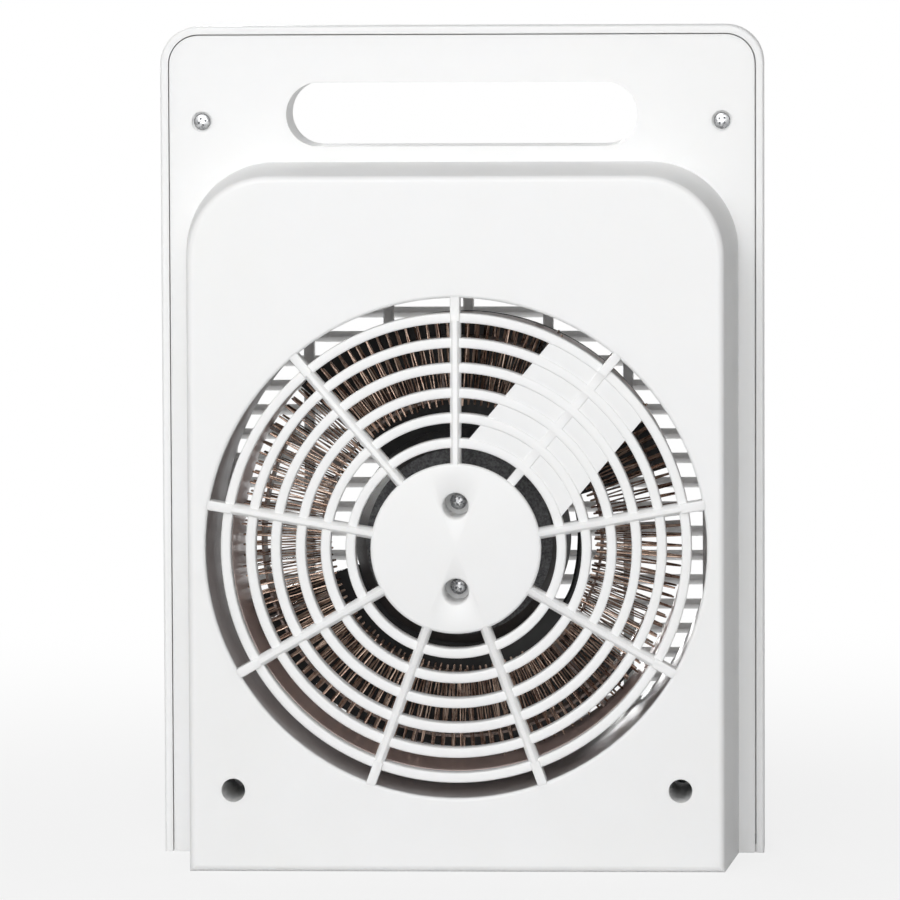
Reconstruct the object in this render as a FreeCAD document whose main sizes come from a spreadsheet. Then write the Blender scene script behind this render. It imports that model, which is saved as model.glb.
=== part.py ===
"""Upright fan heater with a handle slot, built as a parametric assembly.

The rear, with the round intake grille, faces +Y and the warm air leaves towards -Y.
The origin is on the floor under the middle of the heater. Lengths are millimetres.
"""
import FreeCAD, Part
import math
import operator
import os

import Sketcher

doc = FreeCAD.newDocument("FanHeater")
sheet = doc.addObject("Spreadsheet::Sheet", "Dims")

# Driving dimensions, one named cell each

DIMENSIONS = {
    # case, measured out from the round intake opening
    "opening_radius": 77.2,
    "side_margin": 5.3,
    "base_margin": 22.9,
    "panel_height": 37.4,
    "draft_side": 4.0,
    "draft_top": 2.8,
    "shoulder": 8.0,
    "hump_corner": 25.0,
    "edge_round": 2.0,
    "rim_round": 0.8,
    "mouth_round": 1.0,
    "case_corner": 12.0,
    "wall": 2.5,
    "seam": 0.35,
    "rear_depth": 48.0,
    "spine_depth": 30.0,
    # handle slot and the straps above and below it
    "top_strap": 17.6,
    "handle_height": 20.0,
    "lower_strap": 4.9,
    "handle_length": 110.0,
    "collar_wall": 2.0,
    # screws that hold the two halves of the case
    "top_screw_inset": 13.1,
    "top_screw_drop": 2.2,
    "top_recess_radius": 3.2,
    "top_recess_depth": 1.5,
    "bottom_screw_inset": 13.5,
    "bottom_screw_z": 25.3,
    "bottom_bore_radius": 3.65,
    "bottom_floor_lift": 2.0,
    "well_wall": 1.6,
    "well_floor": 2.5,
    "boss_wall": 3.0,
    "screw_radius": 1.5,
    "screw_head_radius": 2.6,
    "screw_head_height": 1.3,
    "screw_bite": 14.0,
    "screw_clearance": 0.3,
    "thread_clearance": 0.05,
    # intake grille
    "ring_width": 3.0,
    "ring_depth": 7.0,
    "ring_recess": 1.0,
    "spoke_width": 3.0,
    "hub_radius": 26.3,
    "grille_fit": 0.2,
    "flange_thickness": 2.0,
    "flange_ledge": 0.6,
    "shield_width": 37.0,
    "shield_thickness": 1.5,
    "shield_recess": 0.6,
    "hub_screw_spacing": 26.4,
    "hub_well_radius": 4.0,
    "hub_well_depth": 20.0,
    # motor and fan along the axis
    "motor_length": 25.5,
    "motor_radius": 22.0,
    "motor_wall": 3.0,
    "shaft_radius": 2.0,
    "shaft_fit": 0.05,
    "bearing_radius": 5.0,
    "rotor_radius": 16.0,
    "rotor_gap": 1.5,
    "cover_radius": 34.0,
    "cover_mouth_radius": 29.0,
    "cover_thickness": 1.2,
    "cover_length": 23.0,
    "fan_gap": 16.8,
    "fan_depth": 14.0,
    "fan_hub_radius": 14.0,
    "fan_clearance": 8.5,
    "blade_thickness": 1.6,
    "blade_angle": 122.0,
    "blade_lead_angle": 11.5,
    "nut_radius": 4.0,
    "nut_height": 3.0,
    "shaft_tip": 1.0,
    # duct, element ring and mica
    "duct_clearance": 0.8,
    "duct_wall": 0.6,
    "spacer_length": 8.0,
    "spacer_radius": 1.5,
    "ring_wall": 0.5,
    "ring_grille_gap": 1.0,
    "ring_fan_gap": 6.0,
    "mica_thickness": 0.8,
    "mica_clearance": 0.2,
    "mica_inner_step": 2.5,
    "mica_outer_step": 6.0,
    # heating wire
    "coil_clearance": 1.0,
    "coil_length": 27.2,
    "coil_fan_gap": 10.0,
    "coil_spacing": 16.0,
    "wire_radius": 0.4,
    "wire_bend": 2.0,
    # terminal block and thermal parts in the gap of the element
    "block_width": 26.0,
    "block_radial": 10.0,
    "block_depth": 20.0,
    "block_clearance": 2.0,
    "cutout_radius": 4.5,
    "cutout_height": 7.0,
    "fuse_radius": 1.8,
    "fuse_length": 8.0,
    "lead_radius": 1.2,
    "lead_port_radius": 3.0,
    # outlet grille
    "outlet_margin": 0.8,
    "outlet_drop": 64.1,
    "outlet_corner": 6.0,
    "outlet_fit": 0.3,
    "outlet_frame": 3.0,
    "outlet_lip": 1.4,
    "outlet_depth": 11.0,
    "tip_clearance": 3.0,
    "louvre_pitch": 7.8,
    "louvre_thickness": 2.0,
    "louvre_depth": 8.0,
    "louvre_tilt": 17.0,
    "rib_width": 3.2,
    "rib_pitch": 25.5,
    # controls on the front
    "knob_spread": 38.0,
    "knob_radius": 14.0,
    "knob_depth": 14.0,
    "knob_skirt": 5.0,
    "knob_gap": 0.5,
    "grip_width": 8.0,
    "grip_round": 1.5,
    "spindle_radius": 3.0,
    "spindle_cap": 3.0,
    "switch_radius": 13.0,
    "switch_depth": 16.0,
    "thermostat_width": 24.0,
    "lens_radius": 3.4,
    "lens_rim": 1.2,
    "lens_height": 1.5,
    "lens_depth": 5.0,
    "lamp_radius": 2.6,
    "lamp_length": 12.0,
    # cord entry
    "gland_radius": 5.5,
    "gland_bore": 3.6,
    "gland_flange": 2.0,
    "gland_length": 3.0,
    "gland_z": 16.0,
    "gland_setback": 15.0,
}

RING_COUNT = 6
SPOKE_COUNT = 9
BLADE_COUNT = 2
ARM_COUNT = 6
SPACER_ANGLES = (83.0, 200.0, 316.0)
COIL_LOOPS = 48
SHIELD_ANGLE = 40.0
COIL_GAP_ANGLE = 40.0
LEAD_EXIT_ANGLE = 128.0


class Size:
    """A length together with the sheet formula that it comes from."""

    def __init__(self, formula, value):
        self.formula = formula
        self.value = value

    def __add__(self, other):
        return combine(self, "+", other)

    def __sub__(self, other):
        return combine(self, "-", other)

    def __rsub__(self, other):
        return combine(other, "-", self)

    def __mul__(self, other):
        return combine(self, "*", other)

    def __truediv__(self, other):
        return combine(self, "/", other)

    def __neg__(self):
        return combine(0, "-", self)

    def __float__(self):
        return self.value

    __radd__ = __add__
    __rmul__ = __mul__


ARITHMETIC = {"+": operator.add, "-": operator.sub, "*": operator.mul, "/": operator.truediv}


def formula_of(term):
    return term.formula if isinstance(term, Size) else repr(float(term))


def combine(left, sign, right):
    formula = "(%s %s %s)" % (formula_of(left), sign, formula_of(right))
    return Size(formula, ARITHMETIC[sign](float(left), float(right)))


class Dims:
    """The sheet's cells as attributes."""


d = Dims()
for row, (alias, number) in enumerate(DIMENSIONS.items(), start=1):
    sheet.set("A%d" % row, alias)
    sheet.set("B%d" % row, str(number))
    sheet.setAlias("B%d" % row, alias)
    setattr(d, alias, Size("Dims." + alias, number))
doc.recompute()

# Positions that follow from the sheet

fan_z = d.opening_radius + d.base_margin
hump_face_half = d.opening_radius + d.side_margin
hump_base_half = hump_face_half + d.draft_side
case_half = hump_base_half + d.shoulder
hump_face_top = fan_z + d.opening_radius + d.panel_height
hump_base_top = hump_face_top + d.draft_top
case_height = hump_base_top + d.lower_strap + d.handle_height + d.top_strap
handle_z = hump_base_top + d.lower_strap + d.handle_height / 2

axis_stack = d.hub_well_depth + d.well_floor + d.motor_length + d.cover_thickness + d.fan_gap
axis_stack = axis_stack + d.fan_depth + d.nut_height + d.shaft_tip + d.tip_clearance + d.outlet_depth
rear_y = (axis_stack + d.knob_depth) / 2
parting_y = rear_y - d.rear_depth
plate_y = parting_y - d.wall
spine_y = parting_y - d.spine_depth
front_y = rear_y - axis_stack
inner_front_y = front_y + d.wall
knob_y = front_y - d.knob_depth

motor_rear_y = rear_y - d.hub_well_depth - d.well_floor
motor_front_y = motor_rear_y - d.motor_length
cover_front_y = motor_front_y - d.cover_thickness
fan_top_y = cover_front_y - d.fan_gap
fan_bottom_y = fan_top_y - d.fan_depth
nut_y = fan_bottom_y - d.nut_height
shaft_end_y = nut_y - d.shaft_tip
outlet_back_y = front_y + d.outlet_depth

ring_top_y = rear_y - d.ring_recess
ring_bottom_y = ring_top_y - d.ring_depth
flange_y = rear_y - d.wall - d.flange_thickness
flange_radius = hump_face_half - d.wall - 2 * d.grille_fit
ring_gap = (d.opening_radius - d.hub_radius - RING_COUNT * d.ring_width) / (RING_COUNT + 1)
last_ring_outer = d.opening_radius - ring_gap

duct_inner = d.opening_radius + d.duct_clearance
duct_outer = duct_inner + d.duct_wall
ring_outer = duct_inner - d.spacer_length
ring_inner = ring_outer - d.ring_wall
fan_radius = duct_inner - d.fan_clearance
coil_outer = ring_inner - d.coil_clearance
coil_inner = coil_outer - d.coil_length
coil_front_y = fan_top_y + d.coil_fan_gap
coil_rear_y = coil_front_y + d.coil_spacing
element_rear_y = ring_bottom_y - d.ring_grille_gap
element_front_y = fan_top_y + d.ring_fan_gap
mica_low_y = coil_front_y + d.wire_radius + d.mica_clearance
mica_height = d.coil_spacing - 2 * (d.wire_radius + d.mica_clearance)

outlet_half = d.opening_radius + d.outlet_margin
outlet_top = fan_z + outlet_half
outlet_bottom = fan_z - d.outlet_drop
knob_z = (outlet_top + hump_face_top) / 2
top_screw_x = case_half - d.top_screw_inset
top_screw_z = handle_z - d.top_screw_drop
bottom_screw_x = hump_face_half - d.bottom_screw_inset
bottom_floor_y = parting_y + d.bottom_floor_lift
gland_y = parting_y - d.gland_setback
screw_hole = d.screw_radius + d.screw_clearance
pilot_hole = d.screw_radius + d.thread_clearance
boss_radius = d.screw_radius + d.boss_wall

parts = {}


def keep(label, item):
    """Name a finished sub-part, which is also its file's name."""
    item.Label = label
    parts[label] = item
    return item


def bind(item, path, size):
    item.setExpression(path, formula_of(size))


# Part primitives, placed along the heater's own axes

ALONG = {
    "x": FreeCAD.Rotation(FreeCAD.Vector(0, 1, 0), 90),
    "y": FreeCAD.Rotation(FreeCAD.Vector(1, 0, 0), -90),
    "z": FreeCAD.Rotation(),
}


def place(item, x, y, z):
    bind(item, "Placement.Base.x", x)
    bind(item, "Placement.Base.y", y)
    bind(item, "Placement.Base.z", z)
    return item


def rod(name, radius, length, x, y, z, along="y"):
    item = doc.addObject("Part::Cylinder", name)
    bind(item, "Radius", radius)
    bind(item, "Height", length)
    item.Placement.Rotation = ALONG[along]
    return place(item, x, y, z)


def block(name, x_size, y_size, z_size, x, y, z):
    item = doc.addObject("Part::Box", name)
    bind(item, "Length", x_size)
    bind(item, "Width", y_size)
    bind(item, "Height", z_size)
    return place(item, x, y, z)


def fuse(name, *items):
    item = doc.addObject("Part::MultiFuse", name)
    item.Shapes = list(items)
    item.Refine = True
    return item


def cut(name, base, *tools):
    item = doc.addObject("Part::Cut", name)
    item.Base = base
    item.Tool = tools[0] if len(tools) == 1 else fuse(name + "Tools", *tools)
    item.Refine = True
    return item


def group(name, *items):
    item = doc.addObject("Part::Compound", name)
    item.Links = list(items)
    return item


# Sketches on upright planes and the features made from them

def new_body(label):
    return keep(label, doc.addObject("PartDesign::Body", label))


def origin_plane(body, role):
    return next(f for f in body.Origin.OriginFeatures if f.Role == role)


def upright_sketch(body, name, y):
    """A sketch in X and Z at the depth y; its features grow towards +Y."""
    sketch = body.newObject("Sketcher::SketchObject", name)
    sketch.AttachmentSupport = (origin_plane(body, "XZ_Plane"), "")
    sketch.MapMode = "FlatFace"
    bind(sketch, "AttachmentOffset.Base.z", -y)
    return sketch


def hold(sketch, kind, refs, size):
    index = sketch.addConstraint(Sketcher.Constraint(kind, *refs, float(size)))
    bind(sketch, "Constraints[%d]" % index, size)


def circle(sketch, radius, x=0.0, z=0.0):
    centre = FreeCAD.Vector(float(x), float(z), 0)
    index = sketch.addGeometry(Part.Circle(centre, FreeCAD.Vector(0, 0, 1), float(radius)))
    hold(sketch, "Radius", (index,), radius)
    hold(sketch, "DistanceX", (-1, 1, index, 3), x)
    hold(sketch, "DistanceY", (-1, 1, index, 3), z)


def polygon(sketch, corners):
    """A closed run of lines whose corners are all held by the sheet."""
    count = len(corners)
    points = [FreeCAD.Vector(float(x), float(z), 0) for x, z in corners]
    first = sketch.GeometryCount
    for i in range(count):
        sketch.addGeometry(Part.LineSegment(points[i], points[(i + 1) % count]))
    for i in range(count):
        follows = first + (i + 1) % count
        sketch.addConstraint(Sketcher.Constraint("Coincident", first + i, 2, follows, 1))
    for i, (x, z) in enumerate(corners):
        hold(sketch, "DistanceX", (-1, 1, first + i, 1), x)
        hold(sketch, "DistanceY", (-1, 1, first + i, 1), z)


def rectangle(sketch, left, right, bottom, top):
    polygon(sketch, [(left, bottom), (right, bottom), (right, top), (left, top)])


def arc_outline(sketch, runs):
    """A closed outline of lines and quarter or half turns, held at every joint.

    Each run is (x, z, centre): it ends at x, z and bends round centre unless that is None.
    """
    first = sketch.GeometryCount
    count = len(runs)
    for i, (x, z, centre) in enumerate(runs):
        start = FreeCAD.Vector(float(runs[i - 1][0]), float(runs[i - 1][1]), 0)
        end = FreeCAD.Vector(float(x), float(z), 0)
        if centre is None:
            sketch.addGeometry(Part.LineSegment(start, end))
            continue
        middle = FreeCAD.Vector(float(centre[0]), float(centre[1]), 0)
        radius = (start - middle).Length
        low = math.atan2(start.y - middle.y, start.x - middle.x)
        high = math.atan2(end.y - middle.y, end.x - middle.x)
        ring = Part.Circle(middle, FreeCAD.Vector(0, 0, 1), radius)
        sketch.addGeometry(Part.ArcOfCircle(ring, low, high))
    for i, (x, z, centre) in enumerate(runs):
        follows = first + (i + 1) % count
        sketch.addConstraint(Sketcher.Constraint("Coincident", first + i, 2, follows, 1))
        hold(sketch, "DistanceX", (-1, 1, first + i, 2), x)
        hold(sketch, "DistanceY", (-1, 1, first + i, 2), z)
        if centre is not None:
            hold(sketch, "DistanceX", (-1, 1, first + i, 3), centre[0])


def door(sketch, half, bottom, top, corner):
    """The heater's own outline: square at the floor and rounded at the top corners."""
    side_top = top - corner
    left, right = -half, half
    arc_outline(sketch, [
        (right, bottom, None),
        (right, side_top, None),
        (right - corner, top, (right - corner, side_top)),
        (left + corner, top, None),
        (left, side_top, (left + corner, side_top)),
        (left, bottom, None),
    ])


def rounded_box(sketch, half, bottom, top, corner):
    left, right = -half, half
    low, high = bottom + corner, top - corner
    arc_outline(sketch, [
        (right - corner, bottom, None),
        (right, low, (right - corner, low)),
        (right, high, None),
        (right - corner, top, (right - corner, high)),
        (left + corner, top, None),
        (left, high, (left + corner, high)),
        (left, low, None),
        (left + corner, bottom, (left + corner, low)),
    ])


def stadium(sketch, length, height, z):
    radius = height / 2
    reach = length / 2 - radius
    arc_outline(sketch, [
        (reach, z - radius, None),
        (reach, z + radius, (reach, z)),
        (-reach, z + radius, None),
        (-reach, z - radius, (-reach, z)),
    ])


def pad(body, sketch, length, towards_normal=False):
    before = volume_of(body)
    feature = body.newObject("PartDesign::Pad", sketch.Name + "Pad")
    feature.Profile = sketch
    feature.Reversed = not towards_normal
    bind(feature, "Length", length)
    return settle(body, feature, before, grows=True)


def pocket(body, sketch, length):
    before = volume_of(body)
    feature = body.newObject("PartDesign::Pocket", sketch.Name + "Pocket")
    feature.Profile = sketch
    bind(feature, "Length", length)
    return settle(body, feature, before, grows=False)


def loft(body, kind, first, second):
    before = volume_of(body)
    feature = body.newObject("PartDesign::" + kind, first.Name + "Loft")
    feature.Profile = first
    feature.Sections = [second]
    feature.Ruled = True
    return settle(body, feature, before, grows=kind == "AdditiveLoft")


def polar(body, feature, sketch, count):
    before = volume_of(body)
    pattern = body.newObject("PartDesign::PolarPattern", feature.Name + "Polar")
    pattern.Originals = [feature]
    pattern.Axis = (sketch, ["N_Axis"])
    pattern.Angle = 360.0
    pattern.Occurrences = count
    body.Tip = pattern
    return settle(body, pattern, before, grows=True)


def round_edges(body, feature, radius, chosen):
    names = []
    for number, edge in enumerate(feature.Shape.Edges, start=1):
        if chosen(edge):
            names.append("Edge%d" % number)
    item = body.newObject("PartDesign::Fillet", feature.Name + "Round")
    item.Base = (feature, names)
    bind(item, "Radius", radius)
    doc.recompute()
    return item


def volume_of(body):
    return body.Shape.Volume if body.Tip else 0.0


def settle(body, feature, before, grows):
    """Recompute and make sure that the feature added or took away material."""
    doc.recompute()
    change = volume_of(body) - before
    if change * (1 if grows else -1) <= 0:
        raise RuntimeError("%s changes nothing in %s" % (feature.Name, body.Label))
    return feature


def lies_at(y):
    level = float(y)
    return lambda edge: all(abs(v.Point.y - level) < 1e-4 for v in edge.Vertexes)


def rises_at(y):
    """The edges of an outline at the depth y, without the one on the floor."""
    on_level = lies_at(y)
    return lambda edge: on_level(edge) and edge.CenterOfMass.z > 1e-4


def ring_at(y, radius):
    on_level = lies_at(y)
    return lambda edge: on_level(edge) and abs(getattr(edge.Curve, "Radius", 0.0) - float(radius)) < 1e-4


def hump(body, prefix, base_y, face_y, kind, inset):
    """The drafted box that stands out from the spine, or the hollow inside it."""
    base = upright_sketch(body, prefix + "Base", base_y)
    door(base, hump_base_half - inset, inset, hump_base_top - inset, d.hump_corner + d.draft_top - inset)
    face = upright_sketch(body, prefix + "Face", face_y)
    door(face, hump_face_half - inset, inset, hump_face_top - inset, d.hump_corner - inset)
    return loft(body, kind, base, face)


# Front shell: the spine with its handle tunnel, and the front hump with the outlet and controls

front_shell = new_body("front_shell")
outline = upright_sketch(front_shell, "SpineOutline", spine_y)
door(outline, case_half, 0.0, case_height, d.case_corner)
spine = pad(front_shell, outline, d.spine_depth)
spine_round = round_edges(front_shell, spine, d.edge_round, lies_at(spine_y))
round_edges(front_shell, spine_round, d.rim_round, rises_at(parting_y))
front_hump = hump(front_shell, "FrontHump", spine_y, front_y, "AdditiveLoft", 0.0)
round_edges(front_shell, front_hump, d.edge_round, lies_at(front_y))
hollow = upright_sketch(front_shell, "SpineHollow", spine_y + d.wall)
door(hollow, case_half - d.wall, d.wall, case_height - d.wall, d.case_corner - d.wall)
pocket(front_shell, hollow, d.spine_depth - d.wall)
sill = upright_sketch(front_shell, "PlateSill", plate_y)
rectangle(sill, d.wall - case_half, case_half - d.wall, 0.0, d.wall)
pocket(front_shell, sill, d.wall)
hump(front_shell, "FrontHollow", spine_y + d.wall, inner_front_y, "SubtractiveLoft", d.wall)
collar = upright_sketch(front_shell, "HandleCollar", spine_y + d.wall)
stadium(collar, d.handle_length + 2 * d.collar_wall, d.handle_height + 2 * d.collar_wall, handle_z)
pad(front_shell, collar, d.spine_depth - 2 * d.wall)
slot = upright_sketch(front_shell, "HandleTunnel", spine_y)
stadium(slot, d.handle_length, d.handle_height, handle_z)
pocket(front_shell, slot, d.spine_depth)
top_bosses = upright_sketch(front_shell, "TopBosses", spine_y + d.wall)
for side in (-1, 1):
    circle(top_bosses, boss_radius, side * top_screw_x, top_screw_z)
pad(front_shell, top_bosses, d.spine_depth - 2 * d.wall)
bottom_bosses = upright_sketch(front_shell, "BottomBosses", inner_front_y)
for side in (-1, 1):
    circle(bottom_bosses, boss_radius, side * bottom_screw_x, d.bottom_screw_z)
pad(front_shell, bottom_bosses, bottom_floor_y - inner_front_y)
top_pilots = upright_sketch(front_shell, "TopPilots", plate_y - d.screw_bite)
for side in (-1, 1):
    circle(top_pilots, pilot_hole, side * top_screw_x, top_screw_z)
pocket(front_shell, top_pilots, d.screw_bite)
bottom_pilots = upright_sketch(front_shell, "BottomPilots", bottom_floor_y - d.screw_bite)
for side in (-1, 1):
    circle(bottom_pilots, pilot_hole, side * bottom_screw_x, d.bottom_screw_z)
pocket(front_shell, bottom_pilots, d.screw_bite)
outlet = upright_sketch(front_shell, "OutletOpening", front_y)
rounded_box(outlet, outlet_half, outlet_bottom, outlet_top, d.outlet_corner)
pocket(front_shell, outlet, d.wall)
controls = upright_sketch(front_shell, "ControlHoles", front_y)
for side in (-1, 1):
    circle(controls, d.spindle_radius + d.screw_clearance, side * d.knob_spread, knob_z)
circle(controls, d.lens_radius + d.thread_clearance, 0.0, knob_z)
pocket(front_shell, controls, d.wall)
gland_hole = front_shell.newObject("Sketcher::SketchObject", "GlandHole")
gland_hole.AttachmentSupport = (origin_plane(front_shell, "YZ_Plane"), "")
gland_hole.MapMode = "FlatFace"
bind(gland_hole, "AttachmentOffset.Base.z", case_half)
circle(gland_hole, d.gland_radius + d.thread_clearance, gland_y, d.gland_z)
pocket(front_shell, gland_hole, d.wall)

# Rear cover: the inset plate, the rear hump and the two deep screw wells at its foot

rear_cover = new_body("rear_cover")
plate = upright_sketch(rear_cover, "PlateOutline", plate_y)
plate_inset = d.wall + d.seam
door(plate, case_half - plate_inset, 0.0, case_height - plate_inset, d.case_corner - plate_inset)
pad(rear_cover, plate, d.wall)
rear_hump = hump(rear_cover, "RearHump", parting_y, rear_y, "AdditiveLoft", 0.0)
round_edges(rear_cover, rear_hump, d.edge_round, lies_at(rear_y))
hump(rear_cover, "RearHollow", plate_y, rear_y - d.wall, "SubtractiveLoft", d.wall)
wells = upright_sketch(rear_cover, "BottomWells", bottom_floor_y)
for side in (-1, 1):
    circle(wells, d.bottom_bore_radius + d.well_wall, side * bottom_screw_x, d.bottom_screw_z)
pad(rear_cover, wells, rear_y - d.wall / 2 - bottom_floor_y)
bores = upright_sketch(rear_cover, "BottomBores", bottom_floor_y + d.well_floor)
for side in (-1, 1):
    circle(bores, d.bottom_bore_radius, side * bottom_screw_x, d.bottom_screw_z)
pocket(rear_cover, bores, rear_y - bottom_floor_y - d.well_floor)
bottom_holes = upright_sketch(rear_cover, "BottomHoles", bottom_floor_y)
for side in (-1, 1):
    circle(bottom_holes, screw_hole, side * bottom_screw_x, d.bottom_screw_z)
pocket(rear_cover, bottom_holes, d.well_floor)
recesses = upright_sketch(rear_cover, "TopRecesses", parting_y - d.top_recess_depth)
for side in (-1, 1):
    circle(recesses, d.top_recess_radius, side * top_screw_x, top_screw_z)
pocket(rear_cover, recesses, d.top_recess_depth)
top_holes = upright_sketch(rear_cover, "TopHoles", plate_y)
for side in (-1, 1):
    circle(top_holes, screw_hole, side * top_screw_x, top_screw_z)
pocket(rear_cover, top_holes, d.wall - d.top_recess_depth)
rear_slot = upright_sketch(rear_cover, "RearHandleSlot", plate_y)
stadium(rear_slot, d.handle_length, d.handle_height, handle_z)
pocket(rear_cover, rear_slot, d.wall)
intake = upright_sketch(rear_cover, "IntakeOpening", rear_y - d.wall)
circle(intake, d.opening_radius, 0.0, fan_z)
mouth = pocket(rear_cover, intake, d.wall)
round_edges(rear_cover, mouth, d.mouth_round, ring_at(rear_y, d.opening_radius))

# Intake grille, drawn about the fan's axis: flange, hub, wells, rings, spokes and the shield strip

rear_grille = new_body("rear_grille")
bar_end = d.opening_radius - d.grille_fit
bind(rear_grille, "Placement.Base.z", fan_z)
flange = upright_sketch(rear_grille, "GrilleFlange", flange_y)
circle(flange, flange_radius)
circle(flange, bar_end - d.flange_ledge)
pad(rear_grille, flange, d.flange_thickness)
rings = upright_sketch(rear_grille, "GrilleRings", ring_bottom_y)
for step in range(RING_COUNT):
    ring_edge = d.hub_radius + (step + 1) * ring_gap + step * d.ring_width
    circle(rings, ring_edge)
    circle(rings, ring_edge + d.ring_width)
pad(rear_grille, rings, d.ring_depth)
shield_y = ring_top_y - d.shield_recess - d.shield_thickness
half_shield = d.shield_width / 2
shield = upright_sketch(rear_grille, "ShieldStrip", shield_y)
shield.AttachmentOffset.Rotation = FreeCAD.Rotation(FreeCAD.Vector(0, 0, 1), SHIELD_ANGLE)
rectangle(shield, -half_shield, half_shield, d.hub_radius / 2, last_ring_outer - d.ring_width)
pad(rear_grille, shield, d.shield_thickness)
hub_gap = upright_sketch(rear_grille, "HubGap", shield_y)
circle(hub_gap, d.hub_radius)
circle(hub_gap, d.hub_radius + ring_gap)
pocket(rear_grille, hub_gap, d.shield_thickness)
hub = upright_sketch(rear_grille, "GrilleHub", rear_y - d.wall)
circle(hub, d.hub_radius)
pad(rear_grille, hub, d.wall)
half_spoke = d.spoke_width / 2
spoke = upright_sketch(rear_grille, "GrilleSpoke", ring_bottom_y)
rectangle(spoke, -half_spoke, half_spoke, d.hub_radius - half_spoke, last_ring_outer - half_spoke)
spoke_pad = pad(rear_grille, spoke, rear_y - ring_bottom_y)
polar(rear_grille, spoke_pad, spoke, SPOKE_COUNT)
bar = upright_sketch(rear_grille, "GrilleBar", ring_bottom_y)
rectangle(bar, -half_spoke, half_spoke, last_ring_outer - d.ring_width, bar_end)
bar_pad = pad(rear_grille, bar, d.ring_depth)
polar(rear_grille, bar_pad, bar, SPOKE_COUNT)
well_posts = upright_sketch(rear_grille, "HubWells", motor_rear_y)
for side in (-1, 1):
    circle(well_posts, d.hub_well_radius + d.well_wall, 0.0, side * d.hub_screw_spacing / 2)
pad(rear_grille, well_posts, rear_y - d.wall / 2 - motor_rear_y)
well_bores = upright_sketch(rear_grille, "HubBores", motor_rear_y + d.well_floor)
for side in (-1, 1):
    circle(well_bores, d.hub_well_radius, 0.0, side * d.hub_screw_spacing / 2)
pocket(rear_grille, well_bores, d.hub_well_depth)
hub_holes = upright_sketch(rear_grille, "HubHoles", motor_rear_y)
for side in (-1, 1):
    circle(hub_holes, screw_hole, 0.0, side * d.hub_screw_spacing / 2)
pocket(rear_grille, hub_holes, d.well_floor)

# Outlet grille: a frame with a lip behind the shell, upright ribs and tilted louvres

front_grille = new_body("front_grille")
frame_half = outlet_half - d.outlet_fit
frame_bottom = outlet_bottom + d.outlet_fit
frame_top = outlet_top - d.outlet_fit
frame_corner = d.outlet_corner - d.outlet_fit
clear_half = frame_half - d.outlet_frame
clear_bottom = frame_bottom + d.outlet_frame
clear_top = frame_top - d.outlet_frame
clear_corner = frame_corner - d.outlet_frame
frame = upright_sketch(front_grille, "OutletFrame", front_y)
rounded_box(frame, frame_half, frame_bottom, frame_top, frame_corner)
rounded_box(frame, clear_half, clear_bottom, clear_top, clear_corner)
pad(front_grille, frame, d.outlet_depth)
lip = upright_sketch(front_grille, "OutletLip", inner_front_y)
lip_half = outlet_half + d.outlet_lip
lip_corner = d.outlet_corner + d.outlet_lip
rounded_box(lip, lip_half, outlet_bottom - d.outlet_lip, outlet_top + d.outlet_lip, lip_corner)
rounded_box(lip, clear_half, clear_bottom, clear_top, clear_corner)
pad(front_grille, lip, d.outlet_lip)
ribs = upright_sketch(front_grille, "OutletRibs", outlet_back_y - d.louvre_depth)
ribs_a_side = int(float(clear_half - d.rib_width) // float(d.rib_pitch))
half_rib = d.rib_width / 2
half_frame = d.outlet_frame / 2
for step in range(-ribs_a_side, ribs_a_side + 1):
    middle = step * d.rib_pitch
    rectangle(ribs, middle - half_rib, middle + half_rib, clear_bottom - half_frame, clear_top + half_frame)
pad(front_grille, ribs, d.louvre_depth)
louvres = front_grille.newObject("Sketcher::SketchObject", "OutletLouvres")
louvres.AttachmentSupport = (origin_plane(front_grille, "YZ_Plane"), "")
louvres.MapMode = "FlatFace"
bind(louvres, "AttachmentOffset.Base.z", -clear_half - half_frame)
tilt_cos = math.cos(math.radians(float(d.louvre_tilt)))
tilt_sin = math.sin(math.radians(float(d.louvre_tilt)))
louvre_y = outlet_back_y - d.louvre_depth / 2 - d.louvre_thickness
louvre_count = int(float(clear_top - clear_bottom) // float(d.louvre_pitch))
for step in range(louvre_count):
    louvre_z = clear_bottom + (step + 0.5) * d.louvre_pitch
    slat = []
    for along, across in ((-0.5, -0.5), (0.5, -0.5), (0.5, 0.5), (-0.5, 0.5)):
        run = along * d.louvre_depth
        rise = across * d.louvre_thickness
        corner_y = louvre_y + run * tilt_cos - rise * tilt_sin
        corner_z = louvre_z + run * tilt_sin + rise * tilt_cos
        slat.append((corner_y, corner_z))
    polygon(louvres, slat)
pad(front_grille, louvres, 2 * clear_half + d.outlet_frame, towards_normal=True)

# Places round the fan's axis, by the clockwise angle from the top as the rear is seen


def turned(angle):
    return FreeCAD.Rotation(FreeCAD.Vector(0, 1, 0), -angle)


def spot(radius, angle, y):
    turn = math.radians(angle)
    x = -float(radius) * math.sin(turn)
    z = float(fan_z) + float(radius) * math.cos(turn)
    return FreeCAD.Vector(x, float(y), z)


def axis_rod(name, radius, low_y, high_y):
    return rod(name, radius, high_y - low_y, 0.0, low_y, fan_z)


def radial_rod(name, radius, start, end, angle, y):
    item = doc.addObject("Part::Cylinder", name)
    bind(item, "Radius", radius)
    bind(item, "Height", end - start)
    item.Placement.Rotation = turned(angle)
    turn = math.radians(angle)
    return place(item, -math.sin(turn) * start, y, fan_z + math.cos(turn) * start)


def radial_block(name, width, depth, start, end, angle, y):
    item = doc.addObject("Part::Box", name)
    bind(item, "Length", width)
    bind(item, "Width", depth)
    bind(item, "Height", end - start)
    item.Placement.Rotation = turned(angle)
    across = math.cos(math.radians(angle))
    along = math.sin(math.radians(angle))
    x = -along * start - across * width / 2
    z = fan_z + across * start - along * width / 2
    return place(item, x, y, z)


# Duct and element ring: thin tubes with a port for the leads, held apart by short posts

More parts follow.
